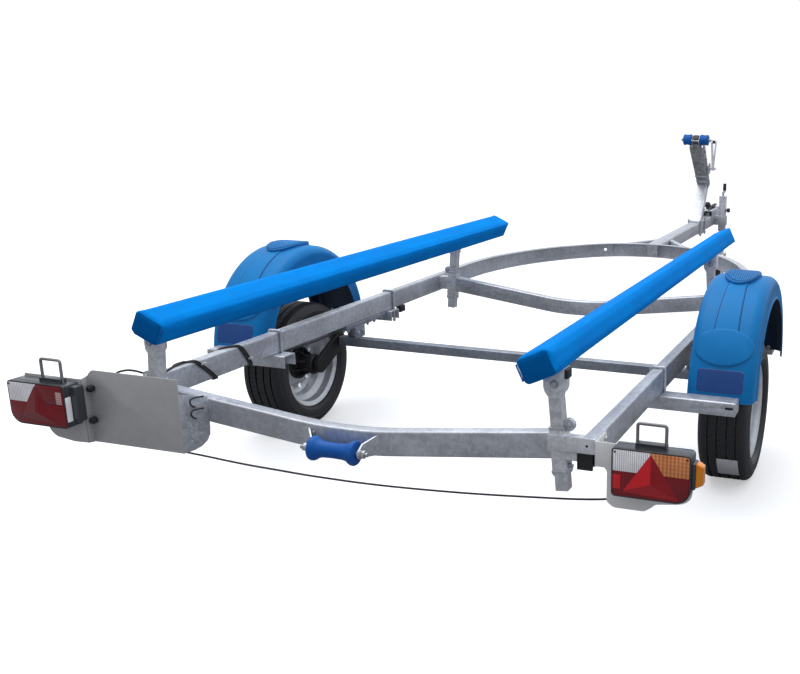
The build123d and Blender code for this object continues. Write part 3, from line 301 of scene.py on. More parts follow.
# A near-black blue with a mottle for the guards' undersides: painted shade under the arch.
guard_underside_shade = moulded("mudguard_underside_shade", (0.006, 0.03, 0.08), 0.6, 500.0, 0.2)
roller_blue = moulded("roller_blue", (0.004, 0.115, 0.46), 0.4, 500.0, 0.2, 0.002, Specular_IOR_Level=0.25)
tyre_rubber = moulded("tyre_rubber", (0.030, 0.030, 0.033), 0.5, 420.0, 0.3, 0.0015)
dark_rubber = moulded("dark_rubber", (0.05, 0.045, 0.045), 0.5, 420.0, 0.3, 0.002)
label_paper = moulded("label_paper", (0.78, 0.78, 0.77), 0.7, 160.0, 0.1)
black_plastic = moulded("black_plastic", (0.016, 0.016, 0.018), 0.3, 800.0, 0.15, 0.001)
cable_sheath = moulded("cable_sheath", (0.02, 0.02, 0.022), 0.3, 900.0, 0.1)
hub_black = moulded("hub_black", (0.018, 0.018, 0.02), 0.7, 260.0, 0.4, 0.003, Metallic=0.3)
tie_white = moulded("cable_tie_white", (0.72, 0.72, 0.7), 0.2, 900.0, 0.1)


# ---- Workshop: adding, shaping and copying pieces ---------------------------------------------

def only(*pieces):
    """Selects just these pieces; the first one is active."""
    bpy.ops.object.select_all(action="DESELECT")
    for piece in pieces:
        piece.select_set(True)
    bpy.context.view_layer.objects.active = pieces[0]


def settled(name, scale=(1, 1, 1)):
    """Names the new primitive, gives it its scale and puts its place into its mesh."""
    piece = bpy.context.object
    piece.name = piece.data.name = name
    piece.scale = [old * new for old, new in zip(piece.scale, scale)]
    only(piece)
    bpy.ops.object.transform_apply(location=True, rotation=True, scale=True)
    return piece


def block(name, low, high):
    """A box between two corners."""
    low, high = Vector(low), Vector(high)
    bpy.ops.mesh.primitive_cube_add(size=1, location=(low + high) / 2, scale=high - low)
    return settled(name)


def round_bar(name, start, end, radius, sides=32):
    """A cylinder between two points."""
    start, end = Vector(start), Vector(end)
    along = end - start
    bpy.ops.mesh.primitive_cylinder_add(vertices=sides, radius=radius, depth=along.length,
                                        location=(start + end) / 2,
                                        rotation=along.to_track_quat("Z", "Y").to_euler())
    return settled(name)


class Bench:
    """Edit mode on one piece, with nothing selected at the start."""

    def __init__(self, piece, kind="FACE"):
        self.piece, self.kind = piece, kind

    def __enter__(self):
        only(self.piece)
        bpy.ops.object.mode_set(mode="EDIT")
        self.none(self.kind)
        return self

    def __exit__(self, *trouble):
        bpy.ops.object.mode_set(mode="OBJECT")

    def none(self, kind=None):
        bpy.ops.mesh.select_mode(type=kind or self.kind)
        bpy.ops.mesh.select_all(action="DESELECT")
        self.kind = kind or self.kind

    def all(self):
        bpy.ops.mesh.select_all(action="SELECT")

    def pick(self, kind, test):
        """Selects the faces, edges or vertices that pass a test, and nothing else."""
        self.none(kind)
        mesh = bmesh.from_edit_mesh(self.piece.data)
        mesh.normal_update()
        parts = {"FACE": mesh.faces, "EDGE": mesh.edges, "VERT": mesh.verts}[kind]
        found = [part for part in parts if test(part)]
        for part in found:
            part.select_set(True)
        mesh.select_flush_mode()
        bmesh.update_edit_mesh(self.piece.data)
        return len(found)

    def faces(self, test):
        return self.pick("FACE", test)

    def edges(self, test):
        return self.pick("EDGE", test)

    def verts(self, test):
        return self.pick("VERT", lambda v: test(v.co))

    def extrude(self, by):
        bpy.ops.mesh.extrude_region_move(TRANSFORM_OT_translate={"value": Vector(by)})

    def swell(self, by):
        """Extrudes the selected faces along their normals."""
        bpy.ops.mesh.extrude_region_shrink_fatten(TRANSFORM_OT_shrink_fatten={"value": by})

    def move(self, by):
        bpy.ops.transform.translate(value=Vector(by))

    def spin(self, centre, axis, degrees, steps):
        """Sweeps the selection about an axis, right-handed."""
        bpy.ops.mesh.spin(steps=steps, angle=-math.radians(degrees), center=centre, axis=axis)

    def cut(self, point, normal, **options):
        """Cuts the whole piece by a plane."""
        self.all()
        bpy.ops.mesh.bisect(plane_co=point, plane_no=normal, **options)

    def outward(self):
        self.all()
        bpy.ops.mesh.remove_doubles(threshold=TINY)
        bpy.ops.mesh.normals_make_consistent(inside=False)


def runs(edge, axis):
    """True for an edge that runs along an axis."""
    way = (edge.verts[1].co - edge.verts[0].co)
    return way.length > TINY and abs(way.normalized().dot(axis)) > 0.999


def faces_way(face, way):
    return face.normal.dot(Vector(way)) > 0.99


def modified(piece, kind, **settings):
    """Adds one modifier and applies it."""
    only(piece)
    modifier = piece.modifiers.new(kind.lower(), kind)
    for name, value in settings.items():
        setattr(modifier, name, value)
    bpy.ops.object.modifier_apply(modifier=modifier.name)
    return piece


def smoothed(piece, degrees=35):
    only(piece)
    bpy.ops.object.shade_smooth_by_angle(angle=math.radians(degrees))
    return piece


def softened(piece, width, segments=2, degrees=35):
    """Rounds the sharp edges."""
    modified(piece, "BEVEL", width=width, segments=segments, limit_method="ANGLE",
             angle_limit=math.radians(degrees), harden_normals=False)
    return smoothed(piece, degrees)


def copy_of(piece, name, matrix=None):
    """A copy with its own mesh, placed by a matrix."""
    twin = piece.copy()
    twin.data = piece.data.copy()
    twin.name = twin.data.name = name
    bpy.context.scene.collection.objects.link(twin)
    if matrix is not None:
        twin.data.transform(matrix)
        if matrix.determinant() < 0:
            twin.data.flip_normals()
    return twin


def mirror_image(piece, name):
    return copy_of(piece, name, Matrix.Scale(-1, 4, X))


def joined(name, pieces):
    """Joins pieces into one with this name."""
    only(*pieces)
    if len(pieces) > 1:
        bpy.ops.object.join()
    piece = bpy.context.object
    piece.name = piece.data.name = name
    return piece


def doubled(name, piece):
    """A piece and its mirror image as one piece."""
    return joined(name, [piece, mirror_image(piece, name)])


def rounded(piece, along, width, segments, test=lambda edge: True):
    """Rounds the edges that run along an axis and pass a test."""
    with Bench(piece) as bench:
        bench.edges(lambda e: runs(e, along) and test(e))
        bpy.ops.mesh.bevel(offset=width, segments=segments)
    return piece


def pressed(piece, way, rim, by):
    """Insets the faces that look one way and moves their middles by a vector."""
    with Bench(piece) as bench:
        bench.faces(lambda f: faces_way(f, way))
        bpy.ops.mesh.inset(thickness=rim)
        bench.extrude(by)
    return piece


def drilled(piece, tool):
    """Cuts the tool's shape out of the piece and takes the tool away."""
    modified(piece, "BOOLEAN", object=tool, operation="DIFFERENCE", solver="EXACT")
    bpy.data.objects.remove(tool)
    return piece


def painted(piece, *materials):
    """Adds finishes to a piece whose faces or parts differ."""
    for material in materials:
        piece.data.materials.append(material)
    return piece


def both_halves(half):
    """A whole outline of (radius, offset) from its first half, mirrored at offset 0."""
    return half + [(radius, -offset) for radius, offset in reversed(half) if offset]


def dressed(piece, material, body="frame", nodes=()):
    """Gives a piece its finish and its body, and hides the nodes it stands for."""
    piece.data.materials.clear()
    piece.data.materials.append(material)
    return placed(piece, body, nodes)


def placed(piece, body="frame", nodes=()):
    """As dressed, for a piece that already has its materials."""
    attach(piece, body)
    if nodes:
        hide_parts(*nodes)
    return piece


def box_tube(name, low, high, along, wall, corner, segments=4):
    """A rectangular tube, open at both ends, with rounded long edges."""
    piece = block(name, low, high)
    with Bench(piece) as bench:
        bench.edges(lambda e: runs(e, along))
        bpy.ops.mesh.bevel(offset=corner, segments=segments)
        bench.faces(lambda f: abs(f.normal.dot(along)) > 0.99)
        bpy.ops.mesh.inset(thickness=wall)
        bpy.ops.mesh.bridge_edge_loops()
    return piece


def drawn_line(name, points):
    """One vertex drawn out into a line through the points, left in edit mode with its end selected."""
    points = [Vector(point) for point in points]
    bpy.ops.object.select_all(action="DESELECT")
    bpy.ops.mesh.primitive_plane_add(size=0.01, location=points[0])
    piece = settled(name)
    bench = Bench(piece, "VERT")
    bench.__enter__()
    bench.all()
    bpy.ops.mesh.merge(type="CENTER")
    for before, after in zip(points, points[1:]):
        bench.extrude(after - before)
    return piece, bench


def plate(name, points, thickness, corner=0.0, corner_test=None, edge=0.0004):
    """A flat plate: its outline drawn and filled, its corners rounded, then given its thickness."""
    piece, bench = drawn_line(name, points)
    bench.all()
    bpy.ops.mesh.edge_face_add()
    if corner:
        bench.verts(corner_test or (lambda co: True))
        bpy.ops.mesh.bevel(offset=corner, segments=5, affect="VERTICES")
    bench.all()
    bench.extrude(thickness)
    bench.outward()
    bench.__exit__()
    return softened(piece, edge, 2, 50) if edge else piece


def spun(name, profile, centre, axis=X, steps=96):
    """A turned piece: a closed outline of (radius, offset along the axis), spun right round."""
    centre, axis = Vector(centre), Vector(axis)
    side = Z if abs(axis.z) < 0.9 else X
    points = [centre + axis * offset + side * radius for radius, offset in profile]
    piece, bench = drawn_line(name, points)
    bench.all()
    bpy.ops.mesh.edge_face_add()
    bpy.ops.mesh.delete(type="ONLY_FACE")
    bench.all()
    bench.spin(centre, axis, 360, steps)
    bench.outward()
    bench.__exit__()
    return smoothed(piece, 30)


def bent_rod(name, start, heading, radius, moves, sides=12):
    """A round bar drawn along its path: a face extruded straight and spun round each bend.
    Each move is a length, or (inside of the bend, degrees, bend radius)."""
    tip, heading = Vector(start), Vector(heading).normalized()
    bpy.ops.object.select_all(action="DESELECT")
    bpy.ops.mesh.primitive_circle_add(vertices=sides, radius=radius, fill_type="NGON", location=tip,
                                      rotation=heading.to_track_quat("Z", "Y").to_euler())
    piece = settled(name)
    with Bench(piece) as bench:
        bench.all()
        for move in moves:
            if isinstance(move, (int, float)):
                bench.extrude(heading * move)
                tip = tip + heading * move
                continue
            inside, degrees, bend = move
            inside = Vector(inside).normalized()
            centre, axis = tip + inside * bend, heading.cross(inside)
            bench.spin(centre, axis, degrees, max(2, round(degrees / 15)))
            turned = Matrix.Rotation(math.radians(degrees), 3, axis)
            tip = centre + turned @ (tip - centre)
            heading = turned @ heading
        bench.outward()
    return smoothed(piece, 40)


def from_node(node, name, width=0.0015, segments=2):
    """A copy of a node's own solid, merged, with its sharp edges rounded."""
    piece = copy_of(NODES[node], name)
    piece.parent = None
    piece.hide_render = piece.hide_viewport = False
    for key in list(piece.keys()):
        del piece[key]
    with Bench(piece) as bench:
        bench.all()
        bpy.ops.mesh.remove_doubles(threshold=TINY)
        bpy.ops.mesh.dissolve_limited(angle_limit=math.radians(0.5))
    return softened(piece, width, segments)


# ---- Bolts and nuts ----------------------------------------------------------------------

def hex_head():
    """An M10 bolt head on its washer, on the plane z = 0, looking up."""
    washer = round_bar("bolt_washer", (0, 0, 0), (0, 0, 0.002), 0.0105, 24)
    head = round_bar("bolt_head", (0, 0, 0.002), (0, 0, 0.0085), 0.0092, 6)
    with Bench(head) as bench:
        bench.faces(lambda f: faces_way(f, Z))
        bpy.ops.mesh.inset(thickness=0.0012)
        bench.move((0, 0, 0.0008))
    return softened(joined("bolt_pattern", [washer, head]), 0.0004, 1)


def nut_and_thread():
    """A nut on its washer with the thread's end standing out, looking up."""
    washer = round_bar("nut_washer", (0, 0, 0), (0, 0, 0.002), 0.0105, 24)
    nut = round_bar("nut_body", (0, 0, 0.002), (0, 0, 0.0105), 0.0095, 6)
    thread = round_bar("nut_thread", (0, 0, 0.0105), (0, 0, 0.017), 0.005, 16)
    with Bench(thread) as bench:
        for level in (0.012, 0.0135, 0.015):
            bench.cut((0, 0, level), Z)
        bench.faces(lambda f: abs(f.normal.z) < 0.1 and 0.012 < f.calc_center_median().z < 0.0135)
        bpy.ops.mesh.inset(thickness=0.0003)
        bpy.ops.transform.shrink_fatten(value=-0.0005)
    body = softened(joined("nut_pattern", [washer, nut]), 0.0004, 1)
    return joined("nut_pattern", [body, smoothed(thread)])


BOLT = hex_head()
NUT = nut_and_thread()


def fasteners(name, pattern, places, scale=1.0, body="frame", material=None):
    """Copies of a bolt or nut at (place, way it looks), joined into one piece."""
    copies = []
    for index, (place, way) in enumerate(places):
        turned = Vector(way).to_track_quat("Z", "Y").to_matrix().to_4x4()
        spread = Matrix.Rotation(0.7 * index, 4, "Z") @ Matrix.Scale(scale, 4)
        copies.append(copy_of(pattern, name, Matrix.Translation(Vector(place)) @ turned @ spread))
    return dressed(joined(name, copies), material or zinc_plate, body)


def both_sides(places):
    """The same places on the right and, mirrored, on the left."""
    flip = Vector((-1, 1, 1))
    return places + [(Vector(place) * flip, Vector(way) * flip) for place, way in places]


# ---- Lamp cable between the light brackets ---------------------------------------------------

CABLE_RADIUS = 0.003
CABLE_ROUTE = [
    (-0.558, -1.229, 0.385), (-0.556, -1.225, 0.358), (-0.541, -1.211, 0.336), (-0.511, -1.193, 0.324),
    (-0.462, -1.182, 0.316), (-0.385, -1.177, 0.308), (-0.302, -1.174, 0.302), (-0.214, -1.170, 0.298),
    (-0.131, -1.168, 0.294), (-0.042, -1.165, 0.292), (0.043, -1.163, 0.291), (0.131, -1.160, 0.2915),
    (0.214, -1.157, 0.2935), (0.301, -1.154, 0.2965), (0.384, -1.152, 0.3005), (0.470, -1.149, 0.3055),
    (0.550, -1.146, 0.311), (0.628, -1.144, 0.317), (0.695, -1.144, 0.323), (0.752, -1.143, 0.3295),
    (0.797, -1.1425, 0.336), (0.830, -1.142, 0.345), (0.852, -1.1415, 0.362), (0.857, -1.1415, 0.389),
]


def cable_line(name, points, radius, material):
    """A cable as one smooth curve through its route."""
    line = bpy.data.curves.new(name, "CURVE")
    line.dimensions = "3D"
    spline = line.splines.new("NURBS")
    spline.points.add(len(points) - 1)
    for point, place in zip(spline.points, points):
        point.co = (*place, 1)
    spline.order_u = 3
    spline.use_endpoint_u = True
    spline.resolution_u = 8
    line.bevel_depth = radius
    line.bevel_resolution = 3
    line.use_fill_caps = True
    piece = bpy.data.objects.new(name, line)
    bpy.context.scene.collection.objects.link(piece)
    line.materials.append(material)
    return piece


def make_lamp_cable():
    """The free cable that hangs between the two light brackets."""
    cable = cable_line("lamp_cable", CABLE_ROUTE, CABLE_RADIUS, cable_sheath)
    placed(cable, "frame", ["rear_cable"])


# ---- Rails, hoop, drawbar and cross members ----------------------------------------------------

RAIL_LOW, RAIL_HIGH, RAIL_MID = 0.427, 0.507, 0.467
RAIL_INNER, RAIL_OUTER = 0.730, 0.770
RAIL_REAR, RAIL_FRONT = -1.150, 1.010
HOOP_BEND_Y, HOOP_FRONT_Y, HOOP_FRONT_RADIUS = 1.273, 1.8633, 0.52995
HOOP_SIDE_X, HOOP_SIDE_DEGREES = 0.606, 44.25


def make_rails():
    """The two long hollow side rails."""
    right = box_tube("rail_right", (RAIL_INNER, RAIL_REAR, RAIL_LOW), (RAIL_OUTER, RAIL_FRONT, RAIL_HIGH),
                     Y, 0.003, 0.006)
    left = mirror_image(smoothed(right), "rail_left")
    dressed(right, galvanised, nodes=["side_rail_right"])
    dressed(left, galvanised, nodes=["side_rail_left"])


def make_rail_plugs():
    """Black plastic plugs in the rails' rear ends, with a recessed middle."""
    plugs = []
    for _, side in SIDES:
        low, high = sorted((side * 0.7185, side * 0.7625))
        plug = block("rail_plug", (low, -1.1555, 0.4165), (high, -1.1475, 0.4635))
        plugs.append(softened(pressed(plug, -Y, 0.004, (0, 0.004, 0)), 0.001))
    dressed(joined("rail_plugs", plugs), black_plastic)


def make_hoop():
    """The channel bent to a D ahead of the rails, with a splice plate and bolts at each rail."""
    bpy.ops.object.select_all(action="DESELECT")
    bpy.ops.mesh.primitive_plane_add(size=1, location=(0.75, RAIL_FRONT, RAIL_MID),
                                     rotation=(math.radians(90), 0, 0))
    hoop = settled("front_hoop_channel", (0.04, 0.08, 1))
    arc = 180 - 2 * HOOP_SIDE_DEGREES
    wall, depth = 0.0038, 0.0362
    with Bench(hoop, "VERT") as bench:
        bench.verts(lambda co: co.x > 0.76)
        bpy.ops.mesh.bevel(offset=0.006, segments=4, affect="VERTICES")
        bench.none("FACE")
        bench.all()
        bench.extrude((0, HOOP_BEND_Y - RAIL_FRONT, 0))
        bench.spin((-HOOP_SIDE_X, HOOP_BEND_Y, 0), Z, HOOP_SIDE_DEGREES, 28)
        bench.spin((0, HOOP_FRONT_Y, 0), Z, arc, 56)
        bench.spin((HOOP_SIDE_X, HOOP_BEND_Y, 0), Z, HOOP_SIDE_DEGREES, 28)
        bench.extrude((0, RAIL_FRONT - HOOP_BEND_Y, 0))
        bench.outward()
        heart = Vector((0, 1.6, RAIL_MID))

        def inner(face):
            middle = face.calc_center_median()
            return (abs(face.normal.z) < 0.1 and face.normal.dot(heart - middle) > 0
                    and abs(face.normal.y) < 0.999)

        bench.faces(inner)
        bpy.ops.mesh.inset(thickness=wall)
        bench.swell(-depth)
    hole = round_bar("hoop_hole_drill", (-0.27, 2.276, RAIL_MID), (-0.308, 2.334, RAIL_MID), 0.009, 24)
    smoothed(drilled(hoop, hole))
    corners = ((0.994, 0.431), (1.124, 0.431), (1.124, 0.503), (0.994, 0.503))
    plates = []
    for _, side in SIDES:
        outline = [(side * 0.725, y, z) for y, z in corners]
        plates.append(plate("splice_plate", outline, (side * 0.005, 0, 0), 0.008))
    joined("front_hoop_channel", [hoop, *plates])
    dressed(hoop, galvanised, nodes=["front_hoop"])
    bolts = [(y, z) for y in (1.030, 1.062, 1.102) for z in (0.449, 0.485)]
    fasteners("splice_bolts", BOLT, both_sides([((0.725, y, z), -X) for y, z in bolts]), 0.8)
    fasteners("splice_nuts", NUT, both_sides([((0.770, y, z), X) for y, z in bolts]), 0.8)


def make_drawbar():
    """The drawbar and the two braces from it to the hoop, open on their outer sides."""
    bar = box_tube("drawbar_tube", (-0.040, 2.391, RAIL_LOW), (0.040, 4.200, RAIL_HIGH), Y, 0.004, 0.007)
    dressed(smoothed(bar), galvanised, nodes=["drawbar"])
    hoop_end, bar_end = Vector((0.235, 2.3333, 0)), Vector((0.020, 2.7033, 0))
    along = bar_end - hoop_end
    brace = block("drawbar_brace", (-0.015, -0.03, -0.03), (0.015, along.length, 0.03))
    rounded(brace, Y, 0.004, 3, lambda e: e.verts[0].co.x < 0)
    angle = math.atan2(-along.x, along.y)
    place = Matrix.Translation(hoop_end + Vector((0, 0, RAIL_MID)))
    brace.data.transform(place @ Matrix.Rotation(angle, 4, "Z"))
    out = Vector((math.cos(angle), math.sin(angle), 0))
    hoop_middle = Vector((0, HOOP_FRONT_Y, 0))
    to_hoop = (hoop_end - hoop_middle).normalized()
    with Bench(brace) as bench:
        bench.cut(hoop_middle + to_hoop * HOOP_FRONT_RADIUS, to_hoop, clear_inner=True, use_fill=True)
        bench.cut((0.040, 0, 0), X, clear_inner=True, use_fill=True)
        bench.outward()
    pressed(brace, out, 0.004, -0.026 * out)
    dressed(doubled("drawbar_braces_pair", softened(brace, 0.0008)), galvanised, nodes=["drawbar_braces"])


def make_cross_member(name, node, y, height, top, dip, lean):
    """A tube dipped in its middle, its ends square to the leaning posts."""
    end, level, bend, cuts = 0.640, 0.09, 0.16, 6
    slope = dip / (end - level)
    tube = box_tube(name, (-end, y - 0.022, top - height), (end, y + 0.022, top), X, 0.003, 0.006)
    with Bench(tube) as bench:
        for step in range(-cuts, cuts + 1):
            bench.cut((bend * step / cuts, 0, 0), X)
    for corner in tube.data.vertices:
        reach = abs(corner.co.x)
        far = max(reach - 2 * level + bend, 0)
        corner.co.z -= dip - slope * (reach - level if reach > bend else far ** 2 / (4 * (bend - level)))
    with Bench(tube) as bench:
        for side in (-1, 1):
            bench.verts(lambda co: co.x * side > end - 0.001 and co.z < top - height / 2)
            bench.move((side * lean, 0, 0))
            bench.verts(lambda co: co.x * side > end - 0.001 and co.z > top - height / 2)
            bench.move((-side * 0.003, 0, 0))
    dressed(smoothed(tube), galvanised, nodes=[node])


def make_axle():
    """The axle beam with a hollow seat and a strip under each rail."""
    beam = box_tube("axle_tube", (-0.825, 0.134, 0.317), (0.825, 0.174, 0.357), X, 0.004, 0.004)
    smoothed(beam)
    seats = []
    for _, side in SIDES:
        low, high = sorted((side * RAIL_INNER, side * RAIL_OUTER))
        seat = box_tube("axle_seat", (low, 0.116, 0.357), (high, 0.192, 0.409), Y, 0.005, 0.004, 3)
        strip = rounded(block("axle_strip", (low, 0.050, 0.409), (high, 0.385, RAIL_LOW)), X, 0.006, 3)
        seats += [smoothed(seat), softened(strip, 0.001)]
    # The darker zinc here is painted shade under the rails.
    dressed(joined("axle_tube", [beam, *seats]), galvanised_shaded, nodes=["axle_beam"])
    under = [((x, y, 0.409), -Z) for x in (0.741, 0.759) for y in (0.075, 0.235, 0.290, 0.350)]
    fasteners("axle_strip_nuts", NUT, both_sides(under), 0.85)
    seat_bolts = [((x, y, 0.383), way) for x, way in ((RAIL_INNER, -X), (RAIL_OUTER, X))
                  for y in (0.134, 0.174)]
    fasteners("axle_seat_bolts", BOLT, both_sides(seat_bolts), 0.9)


# ---- Wheels ---------------------------------------------------------------------------------

WHEEL_X, TYRE_RADIUS = 0.948, 0.263
WHEEL_CENTRES = {"left": Vector((-WHEEL_X, 0, TYRE_RADIUS)), "right": Vector((WHEEL_X, 0, TYRE_RADIUS))}


def tyre_outline():
    """Half the tyre's section as (radius, offset), tread to bead, with the grooves cut in."""
    groove, half_groove = 0.0085, 0.0042
    tread = [(TYRE_RADIUS, 0)]
    for middle in (0.0175, 0.050):
        tread += [(TYRE_RADIUS, middle - half_groove), (TYRE_RADIUS - groove, middle - half_groove + 0.001),
                  (TYRE_RADIUS - groove, middle + half_groove - 0.001), (TYRE_RADIUS, middle + half_groove)]
    wall = [(TYRE_RADIUS, 0.062), (0.2618, 0.068), (0.2585, 0.0755), (0.252, 0.0822), (0.2495, 0.0832),
            (0.2487, 0.0845), (0.240, 0.0880), (0.230, 0.0910), (0.2292, 0.0922), (0.2262, 0.0922),
            (0.2255, 0.0916), (0.214, 0.0925), (0.202, 0.0905), (0.2010, 0.0914), (0.1975, 0.0914),
            (0.1965, 0.0888), (0.190, 0.0850), (0.184, 0.0780), (0.182, 0.0680), (0.182, 0.0630),
            (0.1655, 0.0630)]
    return tread + wall


def make_tyre(name):
    half = tyre_outline()
    lining = [(0.1655, 0.049), (0.192, 0.057), (0.237, 0.077), (0.249, 0.062), (0.2515, 0.030), (0.2515, 0)]
    right = half + lining
    tyre = spun(f"tyre_{name}_tread", both_halves(right), WHEEL_CENTRES[name], X, 80)
    centre = WHEEL_CENTRES[name]

    def far(co):
        return math.hypot(co.y - centre.y, co.z - centre.z)

    with Bench(tyre) as bench:
        bench.edges(lambda e: runs(e, X) and far(e.verts[0].co) > TYRE_RADIUS - 0.0005
                    and (e.verts[0].co - e.verts[1].co).length > 0.012)
        bpy.ops.mesh.bevel(offset=0.0013, segments=1)
        bench.faces(lambda f: far(f.calc_center_median()) > TYRE_RADIUS - 0.0006
                    and abs(f.normal.x) < 0.05 and 1e-5 < f.calc_area() < 0.0042 * 0.035
                    and min(e.calc_length() for e in f.edges) < 0.0035)
        bench.swell(-0.005)
    smoothed(tyre, 30)
    dressed(tyre, tyre_rubber, f"wheel_{name}", [f"tyre_{name}"])


def make_rim(name):
    """A pressed steel wheel: well barrel, dished disc with round vents, and its bolts."""
    centre = WHEEL_CENTRES[name]
    out = 1 if name == "right" else -1
    barrel = [(0.182, 0.075), (0.1812, 0.0715), (0.177, 0.069), (0.169, 0.066), (0.165, 0.060),
              (0.165, 0.043), (0.161, 0.039), (0.146, 0.032), (0.142, 0.028), (0.142, -0.018),
              (0.146, -0.022), (0.161, -0.030), (0.165, -0.035), (0.165, -0.060), (0.169, -0.066),
              (0.177, -0.069), (0.1812, -0.0715), (0.182, -0.075), (0.1795, -0.0755), (0.172, -0.072),
              (0.163, -0.068), (0.1605, -0.060), (0.1605, -0.038), (0.157, -0.034), (0.142, -0.026),
              (0.1375, -0.021), (0.1375, 0.030), (0.142, 0.036), (0.157, 0.043), (0.1605, 0.047),
              (0.1605, 0.060), (0.163, 0.068), (0.172, 0.072), (0.1795, 0.0755)]
    disc = [(0.036, -0.0025), (0.078, -0.0025), (0.086, 0.000), (0.102, 0.016), (0.110, 0.0195),
            (0.124, 0.0190), (0.1375, 0.0120), (0.1375, 0.0170), (0.125, 0.0240), (0.109, 0.0245),
            (0.099, 0.0210), (0.083, 0.0050), (0.076, 0.0025), (0.036, 0.0025)]
    vents, vent_circle, vent_radius = 12, 0.1165, 0.0105
    studs, stud_circle, disc_front = 4, 0.050, 0.0025
    rim = spun("rim_barrel", barrel, centre, X * out, 96)
    face = spun("rim_disc", disc, centre, X * out, 96)
    drill = round_bar("vent_drill", (0, vent_circle, 0), (0, vent_circle, 0.08), vent_radius, 24)
    drills = []
    for vent in range(vents):
        spread = Matrix.Rotation(math.radians(360 / vents * (vent + 0.5)), 4, "Z")
        drills.append(copy_of(drill, "vent", Matrix.Translation((0, 0, -0.04)) @ spread))
    bpy.data.objects.remove(drill)
    drills = joined("vent_drills", drills)
    drills.data.transform(Matrix.Translation(centre) @ X.to_track_quat("Z", "Y").to_matrix().to_4x4())
    smoothed(drilled(face, drills), 30)
    rim = joined(f"rim_{name}_pressed", [rim, face])
    dressed(rim, rim_silver, f"wheel_{name}", [f"rim_{name}"])
    turns = [math.radians(360 / studs * (stud + 0.5)) for stud in range(studs)]
    places = [Vector((out * disc_front, stud_circle * math.cos(a), stud_circle * math.sin(a))) for a in turns]
    fasteners(f"wheel_bolts_{name}", BOLT, [(centre + place, X * out) for place in places], 1.25,
              f"wheel_{name}")


def make_hub(name):
    """The cast hub: a ribbed drum face behind the wheel and the grease cap in front."""
    centre = WHEEL_CENTRES[name]
    out = 1 if name == "right" else -1
    outline = [(0.016, -0.092), (0.036, -0.092), (0.041, -0.089), (0.0435, -0.083), (0.0435, -0.076),
               (0.0385, -0.072), (0.0365, -0.040), (0.040, -0.022), (0.047, -0.0165), (0.066, -0.0150),
               (0.0695, -0.0125), (0.0695, -0.0027), (0.033, -0.0027), (0.033, 0.022), (0.031, 0.027),
               (0.024, 0.0325), (0.010, 0.0345), (0.001, 0.0348), (0.001, 0.004), (0.016, 0.003)]
    hub = spun(f"hub_{name}_casting", outline, centre, X * out, 64)
    ribs, rib_count, first_turn = [], 8, 22
    for index in range(rib_count):
        rib = block("hub_rib", (-0.060, -0.003, 0.034), (-0.013, 0.003, 0.066))
        with Bench(rib) as bench:
            bench.verts(lambda co: co.x < -0.05 and co.z > 0.06)
            bench.move((0, 0, -0.024))
        turn = Matrix.Rotation(math.radians(360 / rib_count * index + first_turn), 4, "X")
        rib.data.transform(Matrix.Translation(centre) @ turn @ Matrix.Scale(out, 4, X))
        if out < 0:
            rib.data.flip_normals()
        ribs.append(softened(rib, 0.0008, 1))
    hub = joined(f"hub_{name}_casting", [hub, *ribs])
    dressed(hub, hub_black, f"wheel_{name}", [f"hub_{name}"])


def make_arms():
    """The trailing arms between the axle and the hubs, each with the bolt on its pivot."""
    for name, side in SIDES:
        arm = from_node(f"swing_arm_{name}", f"swing_arm_{name}_forging", 0.003, 3)
        dressed(arm, hub_black, "frame", [f"swing_arm_{name}"])
        ends = [((side * 0.8285, 0.154, 0.337), (-side, 0, 0))]
        fasteners(f"arm_bolt_{name}", BOLT, ends, 1.2)


def make_tyre_label():
    """A bare paper label on the right tyre's tread, curved with it."""
    centre = WHEEL_CENTRES["right"]
    label = block("tyre_label", (0.929, -0.048, -0.003), (1.006, 0.048, 0.0006))
    with Bench(label) as bench:
        for row in range(-4, 5):
            bench.cut((0, row * 0.0105, 0), Y)
    for corner in label.data.vertices:
        turn = math.radians(-127.5) + corner.co.y / TYRE_RADIUS
        reach = TYRE_RADIUS + corner.co.z
        corner.co = (corner.co.x, reach * math.sin(turn), centre.z + reach * math.cos(turn))
    dressed(softened(label, 0.0004, 1), label_paper, "wheel_right")


def make_wheels():
    """Both wheels with their hubs and arms, and the label on the right tyre."""
    for name, _ in SIDES:
        make_tyre(name)
        make_rim(name)
        make_hub(name)
    make_tyre_label()
    make_arms()


# ---- Mudguards ---------------------------------------------------------------------------------

GUARD_X, GUARD_Z, GUARD_RADIUS = 0.955, 0.376, 0.392
GUARD_HALF, GUARD_SHOULDER, GUARD_FLAT = 0.115, 0.036, 0.0396


def arch_radius(x):
    """The arch's outer radius at a distance from its middle: flat on top, rounded at both edges."""
    over = (abs(x) - (GUARD_HALF - GUARD_FLAT)) / GUARD_FLAT
    if over <= 0:
        return GUARD_RADIUS
    return GUARD_RADIUS - GUARD_SHOULDER * (1 - math.sqrt(max(0, 1 - min(over, 1) ** 2)))


def laid_on_arch(piece, step=0.009):
    """Cuts a flat relief into strips and lays it over the arch: x across, y round it, z out of it."""
    spans = []
    for axis, way in ((0, X), (1, Y)):
        places = [vertex.co[axis] for vertex in piece.data.vertices]
        spans.append((way, min(places), max(places)))
    with Bench(piece) as bench:
        for way, low, high in spans:
            count = int((high - low) / step)
            for strip in range(1, count + 1):
                bench.cut(way * (low + (high - low) * strip / (count + 1)), way)
        bench.outward()
    for vertex in piece.data.vertices:
        across, round_it, out = vertex.co
        angle = round_it / GUARD_RADIUS
        radius = arch_radius(across) + out
        vertex.co = (GUARD_X + across, -radius * math.sin(angle), GUARD_Z + radius * math.cos(angle))
    piece.data.flip_normals()
    return smoothed(piece, 32)


RELIEF_ROOT = 0.0015


